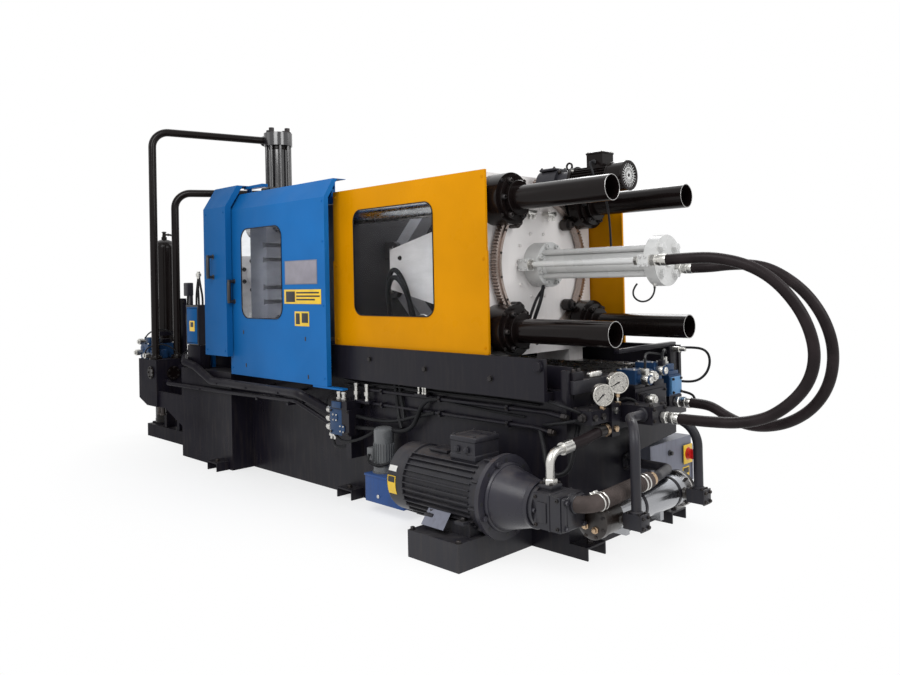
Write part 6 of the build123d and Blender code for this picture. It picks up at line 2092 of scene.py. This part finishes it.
@dataclass
class LeftManifoldDetails:
    """Port covers, valves and screws of the left manifold."""

    face_y: float = -0.637
    side_x: float = -1.450

    def build(self, bench: Bench) -> None:
        """Builds the left manifold's fine pieces.

        Args:
            bench: The bench that models the pieces.
        """
        spot = (-1.545, self.face_y, 0.620)
        bench.cap("left_port_cover", Way.FRONT.at(spot),
                  [(0, 0.052), (0.010, 0.052), (0.012, 0.046), (0.008, 0.030)],
                  GLOSS_BLACK, 40)
        bench.bolts("left_port_bolts", 0.007, 0.007,
                    ring_of((spot[0], spot[1] - 0.010, spot[2]), Way.FRONT, 0.042, 6),
                    BLACK_OXIDE)
        side = (self.side_x, -0.490, 0.610)
        bench.cap("right_port_cover", Way.RIGHT.at(side),
                  [(0, 0.058), (0.010, 0.058), (0.012, 0.052), (0.006, 0.034)],
                  GLOSS_BLACK, 40)
        bench.bolts("right_port_bolts", 0.008, 0.008,
                    ring_of((side[0] + 0.010, side[1], side[2]), Way.RIGHT, 0.046, 6),
                    BLACK_OXIDE)
        boxes = (
            ("left_valve_step", (-1.645, -0.610, 0.727), (-1.585, -0.470, 0.800), VALVE_BLUE),
            ("left_valve_top", (-1.760, -0.600, 0.848), (-1.660, -0.500, 0.905), VALVE_BLUE),
            ("left_valve_side", (-1.786, -0.624, 0.735), (-1.720, -0.612, 0.830), VALVE_BLUE),
            ("left_valve_cap", (-1.760, -0.470, 0.848), (-1.670, -0.400, 0.885), BED_BLACK),
        )
        for name, low, high, finish in boxes:
            bench.block_piece(name, low, high, finish, 0.005, 3)
        coils = [Way.FRONT.at((-1.700, -0.620, 0.875)), Way.FRONT.at((-1.620, -0.608, 0.760)),
                 Way.FRONT.at((-1.755, -0.624, 0.780))]
        coil = bench.turned([(0, 0.020), (0.018, 0.020), (0.020, 0.025), (0.052, 0.025), (0.055, 0.016),
                             (0.064, 0.016)], 24)
        bench.finish(bench.stamp(coil, coils), "left_valve_coils", ZINC)
        tops = [Way.UP.at((x, y, 0.850)) for x in (-1.765, -1.652) for y in (-0.610, -0.390)]
        bench.bolts("left_valve_screws", 0.008, 0.008, tops, ZINC)
        bench.tube("left_valve_cable", [(-1.700, -0.62, 0.90), (-1.66, -0.60, 0.96), (-1.60, -0.50, 0.98),
                                        (-1.58, -0.40, 0.92), (-1.57, -0.37, 0.74)], 0.006, CABLE_BLACK)
        bench.tube("left_valve_lead", [(-1.620, -0.655, 0.760), (-1.600, -0.665, 0.800), (-1.56, -0.64, 0.84),
                                       (-1.50, -0.50, 0.86), (-1.48, -0.40, 0.74)], 0.006, CABLE_BLACK)
        drain = [Way.DOWN.at((-1.560, -0.560, 0.338)), Way.DOWN.at((-1.500, -0.560, 0.338))]
        tap = bench.turned([(0, 0.030), (0.012, 0.030), (0.014, 0.020), (0.060, 0.020), (0.062, 0.026),
                            (0.080, 0.026)], 12)
        bench.finish(bench.stamp(tap, drain), "left_drain_fittings", BLACK_OXIDE)
        box = ((-0.905, -0.652, 0.875), (-0.690, -0.538, 1.194))
        bench.frame_piece("control_box_seam", (-0.884, -0.711, 0.901, 1.168), -0.6405, 0.010, 0.004, 0.004,
                          SEAL_BLACK)
        for name, low, high, finish, edge in (
                ("control_box_strip", (-0.880, -0.6425, 0.893), (-0.712, -0.6395, 1.176), DOOR_BLUE, 0.001),
                ("control_box_notice", (-0.834, -0.6440, 0.990), (-0.754, -0.6420, 1.070), PLATE_YELLOW,
                 0.0006),
                ("control_box_lid", (box[0][0] + 0.008, -0.642, 1.184), (box[1][0] - 0.008, -0.538, 1.192),
                 MOTOR_GREY, 0.003),
                ("control_post", (-0.904, -0.612, 1.186), (-0.876, -0.588, 1.300), MOTOR_GREY, 0.003),
                ("control_box_mark", (-0.818, -0.6448, 1.022), (-0.772, -0.6430, 1.060), PRINT_BLACK, 0.0004),
                ("control_pedestal", (-0.900, -0.632, 0.698), (-0.692, -0.545, 0.880), BED_BLACK, 0.004),
                ("manifold_back_plate", (-1.660, -0.372, 0.722), (-1.452, -0.358, 1.235), BED_BLACK, 0.003)):
            bench.block_piece(name, low, high, finish, edge)
        bench.bolts("back_plate_bolts", 0.009, 0.008, [Way.FRONT.at((x, -0.372, z)) for x in (-1.635, -1.477)
                                                       for z in (0.760, 1.205)], BLACK_OXIDE, socket=False)
        bench.block_piece("control_junction", (-0.935, -0.640, 1.262), (-0.872, -0.585, 1.366), MOTOR_GREY,
                          0.008, 3)
        bench.cap("control_fitting", Way.UP.at((-0.758, -0.600, 1.395)),
                  [(0, 0.014), (0.016, 0.014), (0.018, 0.020),
                   (0.040, 0.020), (0.042, 0.013), (0.055, 0.013)], ZINC, 12)
        lines = (
            [(-0.760, -0.60, 1.188), (-0.762, -0.60, 1.26), (-0.770, -0.60, 1.33), (-0.758, -0.60, 1.396)],
            [(-0.720, -0.59, 1.188), (-0.716, -0.59, 1.25), (-0.728, -0.60, 1.33), (-0.752, -0.598, 1.40)],
            [(-0.800, -0.60, 1.188), (-0.800, -0.60, 1.25), (-0.790, -0.60, 1.31), (-0.765, -0.60, 1.40)],
            [(-0.905, -0.60, 1.264), (-0.910, -0.60, 1.18), (-0.960, -0.59, 1.10), (-0.990, -0.56, 0.95),
             (-1.040, -0.50, 0.80), (-1.20, -0.45, 0.72)],
            [(-0.940, -0.60, 1.264), (-0.950, -0.60, 1.17), (-1.010, -0.58, 1.05), (-1.050, -0.54, 0.92),
             (-1.16, -0.47, 0.80), (-1.35, -0.43, 0.74), (-1.46, -0.42, 0.70)],
            [(-0.76, -0.58, 0.885), (-0.78, -0.57, 0.82), (-0.90, -0.52, 0.80), (-1.05, -0.46, 0.78),
             (-1.20, -0.44, 0.70)],
            [(-0.84, -0.58, 0.885), (-0.86, -0.57, 0.84), (-0.98, -0.52, 0.83), (-1.15, -0.46, 0.84),
             (-1.35, -0.43, 0.78), (-1.46, -0.42, 0.74)],
        )
        for i, line in enumerate(lines):
            bench.tube(f"control_lead_{i}", line, 0.008, CABLE_BLACK)


@dataclass
class DieSpaceDetails:
    """Bolts and fine pieces of the platens, the bars and the injection end."""

    axis_z: float = 1.418

    def build(self, bench: Bench) -> None:
        """Builds the fine pieces around the die space.

        Args:
            bench: The bench that models the pieces.
        """
        spots = ((-0.35, 1.768), (0.35, 1.768), (-0.35, 1.068), (0.35, 1.068))
        nuts = []
        for y, z in spots:
            nuts += ring_of((-0.320, y, z), Way.LEFT, 0.072, 6, 0.0)
        bench.bolts("bar_nut_screws", 0.009, 0.009, nuts, BLACK_OXIDE)
        seal = bench.turned([(0, 0.062), (0.002, 0.070), (0.012, 0.070), (0.014, 0.062)], 40)
        faces = [Way.LEFT.at((0.6695, y, z)) for y, z in spots]
        bench.finish(bench.stamp(seal, faces), "bar_wipers", BLACK_OXIDE, body="moving_platen")
        eyes = ((-0.110, 0.0, 1.878, "frame"), (0.780, 0.0, 1.878, "moving_platen"))
        for i, (x, y, z, body) in enumerate(eyes):
            bench.eye(f"platen_eye_{i}", (x, y, z), 0.024, 0.009, BLACK_OXIDE, body=body)
        heads = ring_of((-0.900, 0, self.axis_z), Way.RIGHT, 0.130, 8, 22.5)
        bench.bolts("shot_head_bolts", 0.014, 0.014, heads, BLACK_OXIDE)
        bench.cap("shot_sleeve_ring", Way.RIGHT.at((-0.012, 0, self.axis_z)), [(0, 0.0640), (0.008, 0.0640),
                                                                               (0.012, 0.0600),
                                                                               (0.012, 0.040),
                                                                               (-0.060, 0.039)], GROUND_STEEL,
                  48)
        bench.cap("shot_front_gland", Way.RIGHT.at((-0.372, 0, self.axis_z)),
                  [(0, 0.092), (0.012, 0.088), (0.030, 0.060),
                   (0.150, 0.030)], GROUND_STEEL,
                  40)
        bench.cap("shot_barrel_band", Way.RIGHT.at((-0.640, 0, self.axis_z)), [(0, 0.0955), (0.004, 0.102),
                                                                               (0.036, 0.102),
                                                                               (0.040, 0.0955)], TAIL_WHITE,
                  48)
        pins = []
        for sz in (1, -1):
            for way, y in ((Way.FRONT, -0.103), (Way.BACK, 0.103)):
                pins.append(way.at((0.965, y, self.axis_z + sz * 0.130)))
        bench.discs("platen_pin_caps", 0.024, 0.004, pins, GROUND_STEEL, body="moving_platen")
        tails = []
        for sz in (1, -1):
            for way, y in ((Way.FRONT, -0.168), (Way.BACK, 0.168)):
                tails.append(way.at((1.672, y, self.axis_z + sz * 0.130)))
        bench.discs("tail_pin_caps", 0.024, 0.004, tails, GROUND_STEEL)
        rails = [Way.UP.at((x, -0.485, 1.890)) for x in (-0.60, -0.30, 0.20, 0.60, 1.10, 1.60)]
        bench.discs("door_rail_plugs", 0.010, 0.0025, rails, BLACK_OXIDE)
        cheeks = [Way.FRONT.at((x, -0.252, self.axis_z + dz)) for x in (1.22, 1.78) for dz in (-0.07, 0.07)]
        bench.bolts("cheek_bolts", 0.012, 0.011, cheeks, BLACK_OXIDE, socket=False)


@dataclass
class FrameDress:
    """Gives every CAD node its finish."""

    finishes: dict[str, Finish] = field(default_factory=lambda: {
        "bed_frame": BED_BLACK, "bed_side_plates": BED_BLACK, "side_beams": BED_BLACK,
        "floor_feet": BED_BLACK,
        "injection_base": BED_BLACK, "left_manifold": BED_BLACK, "end_manifold": BED_BLACK,
        "hard_pipes": BED_BLACK, "motor_plinth": MOTOR_GREY, "slide_rails": GROUND_STEEL,
        "tie_bars": GROUND_STEEL,
        "fixed_platen": PLATEN_GREY, "moving_platen": MOVING_GREY, "tailstock": TAIL_WHITE,
        "toggle_cheeks": TAIL_WHITE, "rear_links_top": LINK_GREY, "rear_links_bottom": LINK_GREY,
        "front_link_top": LINK_GREY, "front_link_bottom": LINK_GREY, "ring_gear": RING_STEEL,
        "drive_pinion": RING_STEEL, "ring_rollers": BLACK_OXIDE, "nut_covers": GLOSS_BLACK,
        "bar_tubes": GLOSS_BLACK, "height_gearbox": MOTOR_GREY, "height_motor": GLOSS_BLACK,
        "closing_cylinder_heads": CYLINDER_SILVER, "closing_cylinder_barrel": CYLINDER_SILVER,
        "guard_panels": GUARD_YELLOW, "guard_windows": WINDOW, "front_door_window": WINDOW,
        "front_door": DOOR_BLUE, "narrow_door": DOOR_BLUE, "door_rail": DOOR_BLUE,
        "front_door_handle": HANDLE_BLACK, "narrow_door_handle": HANDLE_BLACK, "motor_body": MOTOR_GREY,
        "motor_covers": MOTOR_GREY, "bellhousing": CAST_GREY, "hydraulic_pump": PUMP_GREY,
        "oil_cooler": COOLER_SHELL, "arch_pipes": MOTOR_GREY, "end_valves": VALVE_BLUE,
        "left_valves": VALVE_BLUE, "front_valve_block": BED_BLACK, "pressure_gauges": GAUGE_STEEL,
        "switch_cabinet": CABINET_GREY, "switch_knob": KNOB_RED, "hose_fittings": ZINC,
        "pressure_hose": HOSE_BLACK, "suction_hose": SUCTION_CLOTH, "lubrication_unit": TANK_BLUE,
        "accumulator": ROD_BLACK, "accumulator_pipes": GLOSS_BLACK, "nitrogen_bottle": GLOSS_BLACK,
        "shot_cylinder": TAIL_WHITE, "control_box": MOTOR_GREY, "suction_pipe": MOTOR_GREY})

    def build(self, nodes: dict[str, Piece]) -> None:
        """Dresses the nodes.

        Args:
            nodes: The CAD nodes by name.
        """
        for name, node in nodes.items():
            finish = self.finishes.get(name)
            if finish is None:
                LOG.warning("no finish for %s", name)
                finish = HOSE_BLACK if "hose" in name else BED_BLACK
            for slot in node.material_slots:
                slot.material = finish.material()


def main() -> None:
    """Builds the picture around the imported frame."""
    logging.basicConfig(level=logging.INFO, format="%(message)s")
    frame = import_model()
    bench = Bench()
    Studio().build()
    for details in (ClosingHoses, ClosingCylinderDetails, NutCoverDetails, RingDetails, HeightDriveDetails,
                    GuardDetails, DoorDetails, MotorDetails, PumpDetails, SuctionDetails, GaugeDetails,
                    CoolerDetails, EndValveDetails, CabinetDetails, BedDetails, FrontValveDetails,
                    AccumulatorDetails, LeftManifoldDetails, DieSpaceDetails):
        details().build(bench)
    FrameDress().build(frame["nodes"])
    LOG.info("pieces made: %d", len(bench.made))


if __name__ == "__main__":
    main()
